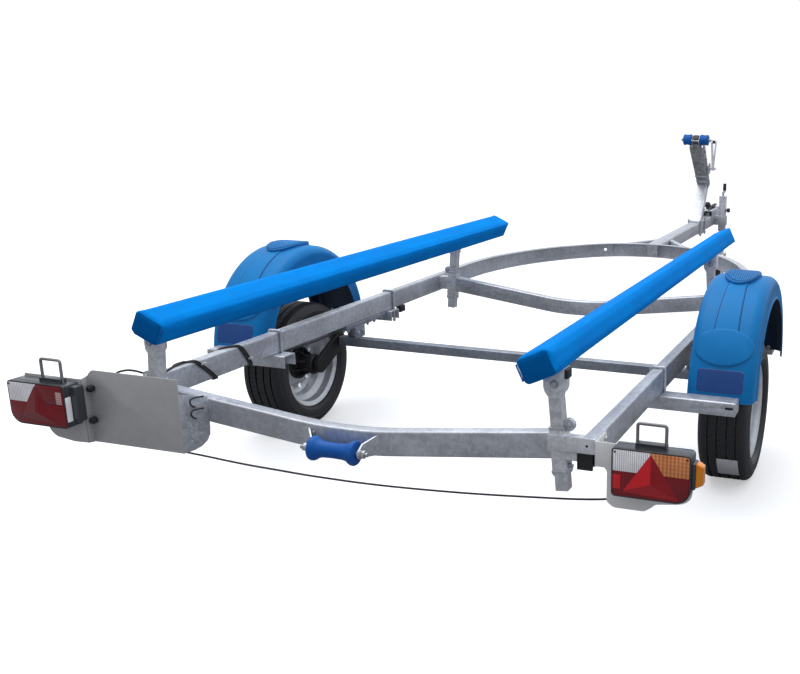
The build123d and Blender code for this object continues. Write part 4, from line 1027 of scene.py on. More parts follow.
def relief_oval(name, middle, half_x, half_y, thickness, edge):
    """A raised oval: a disc with its rim rounded down to the surface."""
    bpy.ops.object.select_all(action="DESELECT")
    bpy.ops.mesh.primitive_circle_add(vertices=72, radius=1, fill_type="NGON",
                                      location=(0, middle, -RELIEF_ROOT))
    piece = settled(name, (half_x, half_y, 1))
    with Bench(piece) as bench:
        bench.all()
        bench.extrude((0, 0, thickness + RELIEF_ROOT))
        bpy.ops.mesh.bevel(offset=edge, segments=3)
        bench.outward()
    return laid_on_arch(piece)


def relief_plate(name, outline, thickness, corner, edge):
    """A raised flat with rounded corners, from its outline of (across, round the arch)."""
    low = [(x, y, -RELIEF_ROOT) for x, y in outline]
    piece = plate(name, low, (0, 0, thickness + RELIEF_ROOT), corner, edge=0)
    with Bench(piece) as bench:
        bench.faces(lambda f: faces_way(f, Z) and f.calc_center_median().z > 0)
        bpy.ops.mesh.bevel(offset=edge, segments=3)
        bench.outward()
    return laid_on_arch(piece)


def guard_reliefs():
    """The raised flats on the arch: a band and an oval on its rear half and on its front half."""
    band = [(-0.031, 0.085), (0.031, 0.085), (0.0405, 0.345), (-0.0405, 0.345)]
    reliefs = []
    for end in (1, -1):
        reliefs.append(relief_plate("guard_spine", [(x, end * y) for x, y in band], 0.0042, 0.0, 0.0022))
        reliefs.append(relief_oval("guard_oval", end * 0.400, 0.103, 0.066, 0.0055, 0.0040))
    return reliefs


def guard_tread():
    """The step on top of the arch: a thick oval with slightly slanting ribs along it."""
    step = relief_oval("guard_step", 0.0, 0.064, 0.114, 0.0125, 0.003)
    # The step's base is painted darker than its ribs: painted shade between them.
    painted(step, guard_blue_step_shade)
    pitch, half_width, half_length, half_reach, slant = 0.0079, 0.0023, 0.104, 0.0595, 0.06
    ribs = []
    for row in range(-7, 8):
        x = row * pitch
        reach = half_length * math.sqrt(1 - (x / half_reach) ** 2)
        rib = block("guard_rib", (x - half_width, -reach, 0.011), (x + half_width, reach, 0.0165))
        with Bench(rib) as bench:
            bench.faces(lambda f: faces_way(f, Z))
            bpy.ops.mesh.bevel(offset=0.0012, segments=1)
        for corner in rib.data.vertices:
            corner.co.x += slant * corner.co.y
        ribs.append(laid_on_arch(rib, 0.014))
    return [step, *ribs]


def make_guard_shell():
    """The arch itself: nearly half a turn of its section, cut upright at both ends, given its wall."""
    section = [(-0.1192, 0.3092), (-0.1197, 0.3115), (-0.1192, 0.3142), (-0.1170, 0.3165), (-0.1152, 0.3190),
               (-0.1150, 0.3230), (-0.1150, 0.3400), (-GUARD_HALF, 0.352)]
    steps, low_end, half_span = 7, 4.2, 0.391
    for step in range(steps + 1):
        t = math.radians(90) * step / steps
        section.append((-GUARD_HALF + GUARD_FLAT * (1 - math.cos(t)),
                        GUARD_RADIUS - GUARD_SHOULDER * (1 - math.sin(t))))
    section += [(-0.045, GUARD_RADIUS), (-0.015, GUARD_RADIUS)]
    section += [(-x, radius) for x, radius in reversed(section)]
    start = math.radians(low_end)
    rise, ahead = math.sin(start), math.cos(start)
    points = [(GUARD_X + x, radius * ahead, GUARD_Z + radius * rise) for x, radius in section]
    shell, bench = drawn_line("guard_shell", points)
    bench.all()
    bench.spin((0, 0, GUARD_Z), X, 180 - 2 * math.degrees(start), 90)
    bench.outward()
    bench.cut((0, -half_span, 0), Y, clear_inner=True)
    bench.cut((0, half_span, 0), Y, clear_outer=True)
    bench.__exit__()
    painted(shell, guard_blue, guard_underside_shade)
    top = [face for face in shell.data.polygons if face.center.z > 0.7]
    if top and sum(face.normal.z for face in top) < 0:
        shell.data.flip_normals()
    # The wall's inner side takes the second finish: painted shade under the arch.
    modified(shell, "SOLIDIFY", thickness=0.0045, offset=-1, use_even_offset=True, material_offset=1)
    return smoothed(shell, 40)


def make_mudguards():
    """Both mudguards: shell, raised flats, grooves beside the bands and the darker plain panel."""
    shell = make_guard_shell()
    raised = guard_reliefs() + guard_tread()
    corners = [(-0.079, 0.478), (0.079, 0.478), (0.079, 0.556), (-0.079, 0.556)]
    panel = relief_plate("guard_panel", corners, 0.0022, 0.012, 0.0018)
    for piece in raised:
        if not piece.data.materials:
            painted(piece, guard_blue)
    strip = [(0.0315, 0.085), (0.0350, 0.085), (0.0445, 0.345), (0.0410, 0.345)]
    grooves = []
    for end in (1, -1):
        for side in (1, -1):
            outline = [(side * x, end * y) for x, y in strip]
            groove = relief_plate("guard_groove", outline, 0.0009, 0.0, 0.0004)
            grooves.append(painted(groove, guard_blue_shade))
    painted(panel, guard_blue_deep)
    guard = joined("mudguard_right_moulding", [shell, *raised, *grooves, panel])
    left = mirror_image(guard, "mudguard_left_moulding")
    placed(guard, "frame", ["mudguard_right"])
    placed(left, "frame", ["mudguard_left"])


def folded_channel(name, x0, x1, y0, y1, top, drop, wall, corner):
    """Sheet folded down along both sides and across its outer end."""
    bpy.ops.object.select_all(action="DESELECT")
    bpy.ops.mesh.primitive_plane_add(size=1, location=((x0 + x1) / 2, (y0 + y1) / 2, top))
    piece = settled(name, (x1 - x0, y1 - y0, 1))
    with Bench(piece) as bench:
        bench.edges(lambda e: runs(e, X) or (runs(e, Y) and e.verts[0].co.x > (x0 + x1) / 2))
        bench.extrude((0, 0, -drop))
        bench.edges(lambda e: all(v.co.z > top - TINY for v in e.verts) and len(e.link_faces) == 2)
        bpy.ops.mesh.bevel(offset=corner, segments=4)
        bench.outward()
    top_faces = [f for f in piece.data.polygons if abs(f.normal.z) > 0.9]
    if top_faces[0].normal.z < 0:
        piece.data.flip_normals()
    return modified(piece, "SOLIDIFY", thickness=wall, offset=-1, use_even_offset=True)


def make_guard_bars():
    """The folded bars that carry the mudguards; the rear ones have a slot with a plug in it."""
    half = 0.035
    bars = []
    for y, inner in ((-0.426, 0.682), (0.426, 0.710)):
        bar = folded_channel("guard_bar", inner, 1.025, y - half, y + half, RAIL_LOW, 0.046, 0.005, 0.006)
        if y < 0:
            slot = block("slot_cutter", (0.990, y - 0.05, 0.4025), (1.018, y - 0.02, 0.4115))
            drilled(bar, rounded(slot, Y, 0.0044, 4))
        bars.append(softened(bar, 0.001))
    right = joined("guard_bars_right", bars)
    left = mirror_image(right, "guard_bars_left")
    dressed(right, galvanised, nodes=["mudguard_bars_right"])
    dressed(left, galvanised, nodes=["mudguard_bars_left"])
    plug = softened(block("bar_slot_plug", (0.986, -0.4585, 0.4005), (1.020, -0.4545, 0.4135)), 0.001)
    dressed(doubled("bar_slot_plugs", plug), black_plastic)
    rear = [((x, -0.461, 0.409), -Y) for x in (0.884, 0.897)]
    fasteners("guard_bar_rivets", BOLT, both_sides(rear), 0.32)
    inside = [((x, y, 0.415), way) for y, way in ((-0.382, Y), (0.382, -Y)) for x in (0.90, 1.01)]
    fasteners("guard_foot_bolts", BOLT, both_sides(inside), 0.8)


def make_u_bolts():
    """Round bars bent over the rails, with a nut on each leg below the bar."""
    low, reach, width, bend = 0.369, 0.143, 0.050, 0.0075
    hoops, feet = [], []
    for y in (-0.411, 0.441):
        path = [reach - bend, (X, 90, bend), width - 2 * bend, (-Z, 90, bend), reach - bend]
        hoops.append(bent_rod("u_bolt", (0.725, y, low), Z, 0.005, path, 14))
        feet += [((x, y, 0.3805), -Z) for x in (0.725, 0.775)]
    both = doubled("u_bolts_bent", joined("u_bolts_bent", hoops))
    dressed(both, galvanised_bright, nodes=["u_bolts"])
    fasteners("u_bolt_nuts", NUT, both_sides(feet), 0.72)


# ---- Bunks and their posts ---------------------------------------------------------------------

POST_X, POST_PIVOT_Z, POST_LEAN = 0.650, 0.620, 4.6
REAR_POST_Y, FRONT_POST_Y = -1.128, 0.935
BUNK_PLACE = Vector((0.617, 0, 0.704))
BUNK_TILT, BUNK_REAR, BUNK_FRONT = 25, -1.198, 1.422
BUNK_HALF, BUNK_HALF_THICK = 0.052, 0.039


def bunk_frame():
    """From the bunk's own axes, x across it and z square to its face, to its place."""
    return Matrix.Translation(BUNK_PLACE) @ Matrix.Rotation(math.radians(-BUNK_TILT), 4, "Y")


def make_bunk_pad():
    """A long board wrapped in padded cover cloth, its faces swollen between the edges."""
    shrink = 0.0016
    under = -BUNK_HALF_THICK
    rear, front = BUNK_REAR + shrink, BUNK_FRONT - shrink
    half, top = BUNK_HALF - shrink, BUNK_HALF_THICK - shrink
    pad = block("bunk_pad", (-half, rear, under), (half, front, top))
    with Bench(pad) as bench:
        bench.edges(lambda e: runs(e, Z) and e.verts[0].co.y > 0)
        bpy.ops.mesh.bevel(offset=0.020, segments=5)
        bench.edges(lambda e: runs(e, Y))
        bpy.ops.mesh.bevel(offset=0.014, segments=5)
        for end, width, segments in ((rear, 0.0045, 2), (front, 0.012, 4)):
            bench.edges(lambda e: all(abs(v.co.y - end) < TINY for v in e.verts) and e.is_manifold
                        and any(abs(f.normal.y) < 0.9 for f in e.link_faces))
            bpy.ops.mesh.bevel(offset=width, segments=segments)
        bench.outward()
    modified(pad, "REMESH", mode="VOXEL", voxel_size=0.0052, use_smooth_shade=True)
    held = pad.vertex_groups.new(name="held")
    held.add([v.index for v in pad.data.vertices if v.co.z < under + 0.004], 1.0, "REPLACE")
    before = [v.co.copy() for v in pad.data.vertices]
    only(pad)
    cloth = pad.modifiers.new("cloth", "CLOTH")
    cloth.settings.use_pressure = True
    cloth.settings.uniform_pressure_force = 4
    cloth.settings.effector_weights.gravity = 0
    cloth.settings.quality = 3
    cloth.settings.tension_stiffness = cloth.settings.compression_stiffness = 30
    cloth.settings.vertex_group_mass = "held"
    cloth.point_cache.frame_start, cloth.point_cache.frame_end = 1, 12
    for step in range(1, 13):
        bpy.context.scene.frame_set(step)
    bpy.ops.object.modifier_apply(modifier=cloth.name)
    most = 0.0024
    for vertex, start in zip(pad.data.vertices, before):
        moved = vertex.co - start
        if moved.length > most:
            vertex.co = start + moved * (most / moved.length)
        vertex.co.z = max(vertex.co.z, under)
    pad.vertex_groups.clear()
    modified(pad, "SMOOTH", factor=0.5, iterations=2)
    pad.data.transform(bunk_frame())
    return smoothed(pad, 70)


def make_bunk_seams():
    """The folded hems along the inner and lower edges of the cover's rear end, and a line of thread."""
    x, y = -BUNK_HALF + 0.0012, BUNK_REAR + 0.0022
    thread_x, thread_y = x - 0.0002, y + 0.0065
    hem = round_bar("hem_fold", (x, y, -0.026), (x, y, 0.024), 0.0019, 10)
    seam = round_bar("hem_thread", (thread_x, thread_y, -0.025), (thread_x, thread_y, 0.024), 0.0008, 8)
    low = round_bar("hem_low", (x + 0.016, y, -0.036), (0.034, y - 0.0008, -0.0362), 0.0012, 8)
    hems = joined("bunk_hems", [hem, seam, low])
    hems.data.transform(bunk_frame())
    return smoothed(hems)


def make_bunks():
    """Both padded bunks, with painted shade on their rear ends: a darker copy of the cloth."""
    right = make_bunk_pad()
    left = mirror_image(right, "bunk_left_pad")
    right.name = "bunk_right_pad"
    for name, piece in (("right", right), ("left", left)):
        dressed(piece, bunk_cloth, "frame", [f"bunk_{name}"])
        painted(piece, bunk_cloth_shaded_end)
        # Faces looking back take the darker cloth: painted shade on the rear ends.
        for face in piece.data.polygons:
            face.material_index = int(face.normal.y < -0.75)
    dressed(doubled("bunk_hems", make_bunk_seams()), seam_thread, "frame")


def post_frame(y):
    """From the right-hand post's own axes, z up along it from the pivot, to its place."""
    return Matrix.Translation((POST_X, y, POST_PIVOT_Z)) @ Matrix.Rotation(math.radians(-POST_LEAN), 4, "Y")


def make_posts():
    """The leaning posts and their sleeves, with the bands, ears, nuts and head bolts on them."""
    for end in ("rear", "front"):
        for name, _ in SIDES:
            post = from_node(f"bunk_post_{end}_{name}", f"bunk_post_{end}_{name}_tube", 0.002, 3)
            for corner in post.data.vertices:
                across = corner.co.x - POST_X
                if name == "right" and corner.co.z > 0.58 and abs(across) > 0.021:
                    corner.co.x -= 0.13 * across
            # The posts and sleeves take the lighter zinc copy: painted light.
            dressed(post, galvanised_lit, nodes=[f"bunk_post_{end}_{name}"])
    sleeves = from_node("bunk_clamps", "post_sleeves", 0.0015, 2)
    dressed(sleeves, galvanised_lit, nodes=["bunk_clamps"])
    bands, heads, nuts = [], [], []
    for y, rail_way in ((REAR_POST_Y, -1), (FRONT_POST_Y, 1)):
        tilt = post_frame(y)
        for low, reach in ((-0.1015, 0.0235), (-0.226, 0.0245)):
            band = box_tube("post_band", (-reach, -reach, low), (reach, reach, low + 0.009), Z,
                            reach - 0.0184, 0.005)
            with Bench(band) as bench:
                bench.edges(lambda e: abs(e.calc_face_angle(0)) > 1.3)
                bpy.ops.mesh.bevel(offset=0.0018, segments=2)
            band.data.transform(tilt)
            bands.append(smoothed(band))
        heads += [((0.652, y + side * 0.0232, 0.648), Y * side) for side in (-1, 1)]
        ear_ends = [tilt @ Vector((0.030, side * 0.008, -0.0905)) for side in (-1, 1)]
        bands.append(softened(round_bar("band_ear", *ear_ends, 0.0185, 24), 0.002))
        nuts += [(tilt @ Vector((0.032, side * 0.008, -0.0895)), Y * side) for side in (1, -1)]
        nuts += [(tilt @ Vector((0.0222, 0.008 * rail_way, z)), tilt.to_3x3() @ X) for z in (-0.17, -0.205)]
    dressed(doubled("post_bands", joined("post_bands", bands)), galvanised_bright)
    washers = []
    for place, way in both_sides(heads):
        start = Vector(place) - Vector(way) * 0.0005
        washer = round_bar("head_washer", start, start + Vector(way) * 0.0016, 0.0115, 24)
        washers.append(softened(washer, 0.0004))
    dressed(joined("bunk_head_washers", washers), dark_steel)
    fasteners("bunk_head_bolts", BOLT, both_sides(heads), 0.95)
    fasteners("post_clamp_nuts", NUT, both_sides(nuts), 0.8)
    corners = ((0.633, 0.464), (0.7698, 0.464), (0.7698, 0.507), (0.633, 0.507))
    tabs = []
    for _, side in SIDES:
        tab = plate("rear_tab", [(side * x, -1.155, z) for x, z in corners], (0, 0.005, 0), 0.003)
        start, end = [(side * 0.746, y, 0.4855) for y in (-1.16, -1.145)]
        tabs.append(smoothed(drilled(tab, round_bar("tab_drill", start, end, 0.004, 20)), 25))
    # The tabs take the lighter zinc copy: painted light.
    dressed(joined("rear_tab_plates", tabs), galvanised_lit, nodes=["rear_tabs"])
    cap = block("post_head_cap", (0.6750, -1.148, 0.664), (0.6900, -1.116, 0.690))
    dressed(softened(cap, 0.002), black_plastic)


# ---- Lamps and their brackets -----------------------------------------------------------------

def make_lens_flutes():
    """Lens plastic: fine upright flutes, a lattice of small prisms and depth inside."""
    inputs = {"Colour": ("colour", (0.6, 0.02, 0.02, 1)), "Deep": ("colour", (0.1, 0.0, 0.0, 1)),
              "Flutes": ("value", 900.0), "Lattice": ("value", 0.3)}
    net, given, result = effect("lens_flutes", inputs)
    split = net.add("ShaderNodeSeparateXYZ", {0: net.place()}).outputs
    flutes = net.between(net.math("SINE", net.math("MULTIPLY", split["X"], given["Flutes"])), -1, 1)
    rows = net.between(net.math("SINE", net.math("MULTIPLY", split["Z"], given["Flutes"])), -1, 1)
    lattice = net.math("MULTIPLY", rows, given["Lattice"])
    depth = net.cloud(26.0, 3.0, 0.5)
    tone = net.total((flutes, 0.45), (depth, 0.7), (net.math("SUBTRACT", lattice, 0.15), 1.0))
    net.put(result["Colour"], net.mix(net.between(tone, 0.2, 0.95), given["Deep"], given["Colour"]))
    net.put(result["Roughness"], net.between(depth, 0.3, 0.7, 0.08, 0.2))
    net.put(result["Height"], net.math("ADD", flutes, lattice))
    return net.tree


LENS_FLUTES = make_lens_flutes()


def lens_finish(name, colour, deep, flutes=900.0, lattice=0.3, bump=0.4, lit=0.0):
    """A lens: its two colours, its flutes and a painted glow that stands in for the light its mirror gives
    back.
    """
    values = {"Colour": (*colour, 1), "Deep": (*deep, 1), "Flutes": flutes, "Lattice": lattice}
    # The emission is a painted glow: the unlit lens gives out light.
    return finish_for(name, LENS_FLUTES, values, bump=bump, depth=0.0006, Coat_Weight=0.6,
                      Coat_Roughness=0.06, Specular_IOR_Level=0.25, Emission_Color=(*colour, 1),
                      Emission_Strength=lit)


def reflector_finish(name, colour, deep, lit=0.0):
    """The triangle's red, in a lit or a shaded copy: painted light and shade on its facets."""
    return lens_finish(name, colour, deep, 1600.0, 0.1, 0.08, lit)


# The last number given to a lens is its painted glow, light that the unlit lens gives out.
lens_red = lens_finish("lens_red", (0.28, 0.008, 0.013), (0.17, 0.005, 0.009), 800.0, 0.05, 0.15, 0.03)
lens_red_deep = lens_finish("lens_red_deep", (0.30, 0.008, 0.012), (0.16, 0.005, 0.009), 1300.0, 0.1)
lens_pink = lens_finish("lens_pink", (0.75, 0.50, 0.48), (0.42, 0.22, 0.22), 1000.0, 0.3)
# Lit and shaded copies of the triangle's red: painted light and shade on its facets.
lens_red_bright = reflector_finish("reflector_red", (0.70, 0.012, 0.022), (0.58, 0.008, 0.015), 0.06)
lens_red_shade = reflector_finish("reflector_shade_red", (0.38, 0.008, 0.014), (0.31, 0.006, 0.01))
lens_red_low_shade = reflector_finish("reflector_low_shade_red", (0.52, 0.010, 0.018), (0.43, 0.007, 0.012), 0.03)
lens_clear = lens_finish("lens_clear", (0.98, 0.97, 1.0), (0.42, 0.41, 0.44), 1100.0, 0.0, 0.7, 0.14)
lens_amber = lens_finish("lens_amber", (0.84, 0.36, 0.14), (0.52, 0.13, 0.03), 620.0, 0.2, 0.2, 0.05)
marker_amber = lens_finish("marker_amber", (0.95, 0.33, 0.015), (0.75, 0.2, 0.01), 1300.0, 0.4)
housing_grey = moulded("lamp_housing", (0.045, 0.05, 0.058), 0.4, 900.0, 0.08, 0.001, Coat_Weight=0.5)
bezel_grey = zinc("lamp_bezel", (0.045, 0.047, 0.052), (0.09, 0.094, 0.10), 0.0, 0.4, 0.001, 0.05)

LAMP_HALF_WIDTH, LAMP_HALF_HEIGHT, LAMP_DEPTH = 0.106, 0.067, 0.060
LAMPS = {"left": (-1, -0.928, 0.472, -1.267), "right": (1, 0.938, 0.447, -1.155)}


def lamp_outline(side, x, z, y, inset=0.0):
    """The lamp's face: small rounds at three corners and a large one at the lower outer corner."""
    wide, high = LAMP_HALF_WIDTH - inset, LAMP_HALF_HEIGHT - inset
    face = []
    for across, up, radius in ((-1, 1, 0.009), (-1, -1, 0.012), (1, -1, 0.040), (1, 1, 0.011)):
        corner = radius - inset
        first = {(-1, 1): 90, (-1, -1): 180, (1, -1): 270, (1, 1): 0}[(across, up)]
        for step in range(7):
            turn = math.radians(first + 15 * step)
            face.append((across * (wide - corner) + corner * math.cos(turn),
                         up * (high - corner) + corner * math.sin(turn)))
    return [(x + side * a, y, z + b) for a, b in face]


def lens_part(name, lamp, material, cuts):
    """The lens cut down to one field: each cut is (x or z, limit, keep above or below)."""
    side, x, z, back = lamp
    front = back - LAMP_DEPTH + 0.001
    part = plate(name, lamp_outline(side, x, z, front, 0.0045), (0, 0.016, 0), edge=0)
    with Bench(part) as bench:
        for axis, limit, above in cuts:
            point = Vector((x + side * limit, 0, 0)) if axis == "x" else Vector((0, 0, z + limit))
            way = X * side if axis == "x" else Z
            bench.cut(point, way, clear_inner=above, clear_outer=not above, use_fill=True)
        bench.outward()
    return painted(softened(part, 0.0012, 2), material)


def make_lamp(name):
    """A tail lamp: housing, bezel, three lens fields, the faceted triangle and a small square."""
    side, x, z, back = lamp = LAMPS[name]
    front = back - LAMP_DEPTH
    right = side > 0
    body = plate("lamp_body", lamp_outline(side, x, z, back), (0, -LAMP_DEPTH + 0.016, 0), edge=0.003)
    bezel = plate("lamp_bezel", lamp_outline(side, x, z, front + 0.002), (0, 0.015, 0), edge=0)
    softened(pressed(bezel, -Y, 0.0042, (0, 0.006, 0)), 0.0014, 3)
    split = 0.004
    inner, outer = {"left": (lens_red_deep, lens_clear), "right": (lens_clear, lens_amber)}[name]
    parts = [painted(body, housing_grey), painted(bezel, bezel_grey),
             lens_part("lens_lower", lamp, lens_red, [("z", split, False)]),
             lens_part("lens_inner", lamp, inner, [("z", split + 0.001, True), ("x", -0.002, False)]),
             lens_part("lens_outer", lamp, outer, [("z", split + 0.001, True), ("x", -0.001, True)])]
    triangle = [(x + a, front + 0.0005, z + b) for a, b in ((0.0, 0.060), (-0.074, -0.050), (0.078, -0.058))]
    reflector = plate("reflector", triangle, (0, 0.008, 0), 0.005, edge=0)
    with Bench(reflector) as bench:
        bench.faces(lambda f: faces_way(f, -Y))
        bpy.ops.mesh.inset(thickness=0.003)
        bpy.ops.mesh.poke(offset=0.012)
        bench.outward()
    smoothed(reflector, 9)
    reds = (lens_red_bright, lens_red_shade, lens_red_low_shade) if right else (lens_red_deep, lens_red)
    painted(reflector, *reds)
    # Painted light and shade on the triangle: facets right of the apex take the shaded red, and on the right
    # lamp the low facets a mid red.
    for facet in reflector.data.polygons:
        if facet.center.x > x + 0.006:
            facet.material_index = 1
        elif facet.center.z < z - 0.022 and right:
            facet.material_index = 2
    low, high = (x - 0.101, front - 0.0006, z - 0.044), (x - 0.080, front + 0.006, z - 0.006)
    square = block("square_reflector", low, high)
    if not right:
        square.data.transform(Matrix.Translation((0.176, 0, 0.052)))
    painted(square, lens_red_bright if right else lens_pink)
    parts += [reflector, softened(square, 0.0015)]
    if not right:
        edge = x + LAMP_HALF_WIDTH
        back_box = block("lamp_back_box", (edge - 0.004, back - 0.034, z - 0.050),
                         (edge + 0.020, back - 0.001, z + 0.060))
        window = block("side_window", (edge - 0.002, front + 0.004, z - 0.046),
                       (edge + 0.0008, front + 0.024, z + 0.030))
        parts.append(softened(painted(back_box, housing_grey), 0.004, 3))
        parts.append(softened(painted(window, lens_clear), 0.001))
    screws = [((x + a, front + 0.0016, z + 0.057), -Y) for a in (-0.096, 0.096)]
    fasteners(f"lamp_screws_{name}", BOLT, screws, 0.3, material=black_plastic)
    unit = joined(f"tail_lamp_{name}_unit", parts)
    placed(unit, "frame", [f"tail_lamp_{name}"])
    make_lamp_guard(name, lamp)
    if right:
        make_side_marker(name, lamp)


def make_lamp_guard(name, lamp):
    """The wire loop over the lamp, in its black clip."""
    _, _, z, back = lamp
    y = back - 0.030
    top = z + LAMP_HALF_HEIGHT
    inner, wide, rise = {"left": (-0.922, 0.072, 0.073), "right": (0.894, 0.077, 0.068)}[name]
    bend = 0.007
    path = [rise - bend, (X, 90, bend), wide - 2 * bend, (-Z, 90, bend), rise - bend]
    loop = bent_rod(f"lamp_loop_{name}", (inner, y, top - 0.004), Z, 0.0046, path, 12)
    dressed(loop, dull_wire)
    low, high = (inner - 0.003, y - 0.012, top - 0.002), (inner + wide + 0.003, y + 0.012, top + 0.014)
    clip = softened(pressed(block(f"lamp_clip_{name}", low, high), -Y, 0.003, (0, 0.003, 0)), 0.0012)
    dressed(clip, housing_grey)


def make_side_marker(name, lamp):
    """The amber marker on the lamp's outer side, on its base."""
    side, x, z, back = lamp
    face = x + side * LAMP_HALF_WIDTH
    ends = sorted((face - side * 0.001, face + side * 0.010))
    base = block("marker_base", (ends[0], back - 0.052, z - 0.026), (ends[1], back - 0.014, z + 0.046))
    softened(base, 0.003)
    ends = sorted((face + side * 0.010, face + side * 0.030))
    lens_cap = block("marker_lens", (ends[0], back - 0.050, z - 0.022), (ends[1], back - 0.016, z + 0.046))
    with Bench(lens_cap) as bench:
        bench.faces(lambda f: faces_way(f, X * side))
        bpy.ops.transform.resize(value=(1, 0.72, 0.72))
    softened(lens_cap, 0.003, 3)
    parts = [painted(base, housing_grey), painted(lens_cap, marker_amber)]
    placed(joined(f"side_marker_{name}", parts), "frame")


BRACKET_BOLTS = [(y, z) for y in (-1.120, -1.080) for z in (0.452, 0.486)]


def make_right_bracket():
    """The pale sheet that holds the right lamp, with a flange bolted to the rail."""
    outline = [(0.770, 0.503), (1.038, 0.503), (1.038, 0.392), (1.034, 0.374), (1.022, 0.361),
               (1.002, 0.354), (0.938, 0.345), (0.930, 0.336), (0.908, 0.321), (0.823, 0.321),
               (0.803, 0.335), (0.803, 0.424), (0.795, 0.432), (0.770, 0.432)]
    sheet = plate("right_bracket", [(x, -1.155, z) for x, z in outline], (0, 0.003, 0), 0.006,
                  lambda co: co.x > 0.8)
    flange = block("right_bracket_flange", (0.770, -1.1525, 0.435), (0.773, -1.060, 0.503))
    rounded(flange, X, 0.012, 5, lambda e: e.verts[0].co.y > -1.1)
    bracket = joined("light_bracket_right_sheet", [sheet, softened(flange, 0.0004)])
    # The right bracket's pale sheet is painted light.
    dressed(bracket, sheet_lit, nodes=["light_bracket_right"])
    fasteners("right_bracket_bolts", BOLT, [((0.773, y, z), X) for y, z in BRACKET_BOLTS], 0.75)


def make_left_bracket():
    """The left panel with its splayed inner side, stepped lamp plate, arm, cable loops and knobs."""
    side_x, side_y = -0.486, -1.2415
    splay = 0.026 / 0.0915
    corners = ((-0.812, 0.341), (side_x, 0.341), (side_x, 0.570), (-0.795, 0.570), (-0.812, 0.553))
    panel = plate("left_panel", [(x, -1.242, z) for x, z in corners], (0, 0.003, 0), 0.006,
                  lambda co: co.x < -0.7 and co.z > 0.5)
    outline = [(side_y, 0.341), (-1.205, 0.342), (-1.182, 0.348), (-1.163, 0.360), (-1.1525, 0.378),
               (-1.1505, 0.400), (-1.1505, 0.4965), (side_y, 0.5235)]
    side = plate("left_inner_side", [(side_x + (y - side_y) * splay, y, z) for y, z in outline],
                 (-0.003, 0, 0))
    corners = ((-1.267, 0.345), (-1.2395, 0.341), (-1.2395, 0.552), (-1.267, 0.546))
    step = plate("left_step", [(-0.8135, y, z) for y, z in corners], (0.003, 0, 0))
    corners = ((-0.811, 0.345), (-0.811, 0.546), (-1.026, 0.546), (-1.026, 0.412), (-0.962, 0.395),
               (-0.957, 0.372), (-0.935, 0.352), (-0.865, 0.343))
    lamp_plate = plate("left_lamp_plate", [(x, -1.267, z) for x, z in corners], (0, 0.003, 0), 0.010,
                       lambda co: co.x < -0.85 and co.z < 0.5)
    arm = block("left_arm", (-0.773, -1.2405, 0.435), (-0.770, -1.060, 0.507))
    rounded(arm, X, 0.012, 5, lambda e: e.verts[0].co.y > -1.1)
    dressed(side, galvanised)
    pieces = [panel, step, lamp_plate, softened(arm, 0.0004)]
    bracket = joined("light_bracket_left_sheet", pieces)
    dressed(bracket, galvanised_sheet, nodes=["light_bracket_left"])
    fasteners("left_bracket_bolts", BOLT, [((-0.773, y, z), -X) for y, z in BRACKET_BOLTS], 0.75)
    for level, y_end in ((0.496, -1.172), (0.460, -1.176)):
        route = [(-0.470, -1.196, level - 0.020), (-0.462, -1.206, level - 0.018),
                 (-0.464, -1.222, level - 0.006), (-0.466, -1.220, level + 0.008),
                 (-0.462, -1.204, level + 0.012), (-0.456, y_end, level + 0.008)]
        placed(cable_line("bracket_loop", route, 0.0026, cable_sheath), "frame")
    rows = (0.372, 0.388, 0.404, 0.420)
    rivets = [((side_x + (y - side_y) * splay, y, z), (1, -splay, 0)) for y in (-1.212, -1.196, -1.180)
              for z in rows]
    fasteners("bracket_rivets", BOLT, rivets, 0.34, material=galvanised_bright)
    knobs = []
    for place in ((-0.797, -1.242, 0.514), (-0.801, -1.242, 0.413)):
        start = Vector(place)
        knob = round_bar("panel_knob", start, start - Y * 0.014, 0.0105, 20)
        knobs.append(softened(pressed(knob, -Y, 0.003, (0, -0.005, 0)), 0.002, 3))
    dressed(joined("panel_knobs", knobs), black_plastic)


def make_glands():
    """Rubber glands with a stepped, tapered nose that the lamp cable comes out of."""
    noses = []
    for (x, y, z), rear, front in ((CABLE_ROUTE[0], -1.239, -1.221), (CABLE_ROUTE[-1], -1.152, -1.1335)):
        body = block("gland_block", (x - 0.008, rear, z - 0.001), (x + 0.008, front, z + 0.025))
        with Bench(body) as bench:
            bench.faces(lambda f: faces_way(f, -Z))
            bpy.ops.mesh.inset(thickness=0.0015)
            bench.extrude((0, 0, -0.008))
            bpy.ops.transform.resize(value=(0.62, 0.62, 1), center_override=(x, y, z - 0.009))
        noses.append(softened(body, 0.0015))
    dressed(joined("cable_gland_pair", noses), black_plastic, nodes=["cable_glands"])


# ---- Keel roller ------------------------------------------------------------------------------

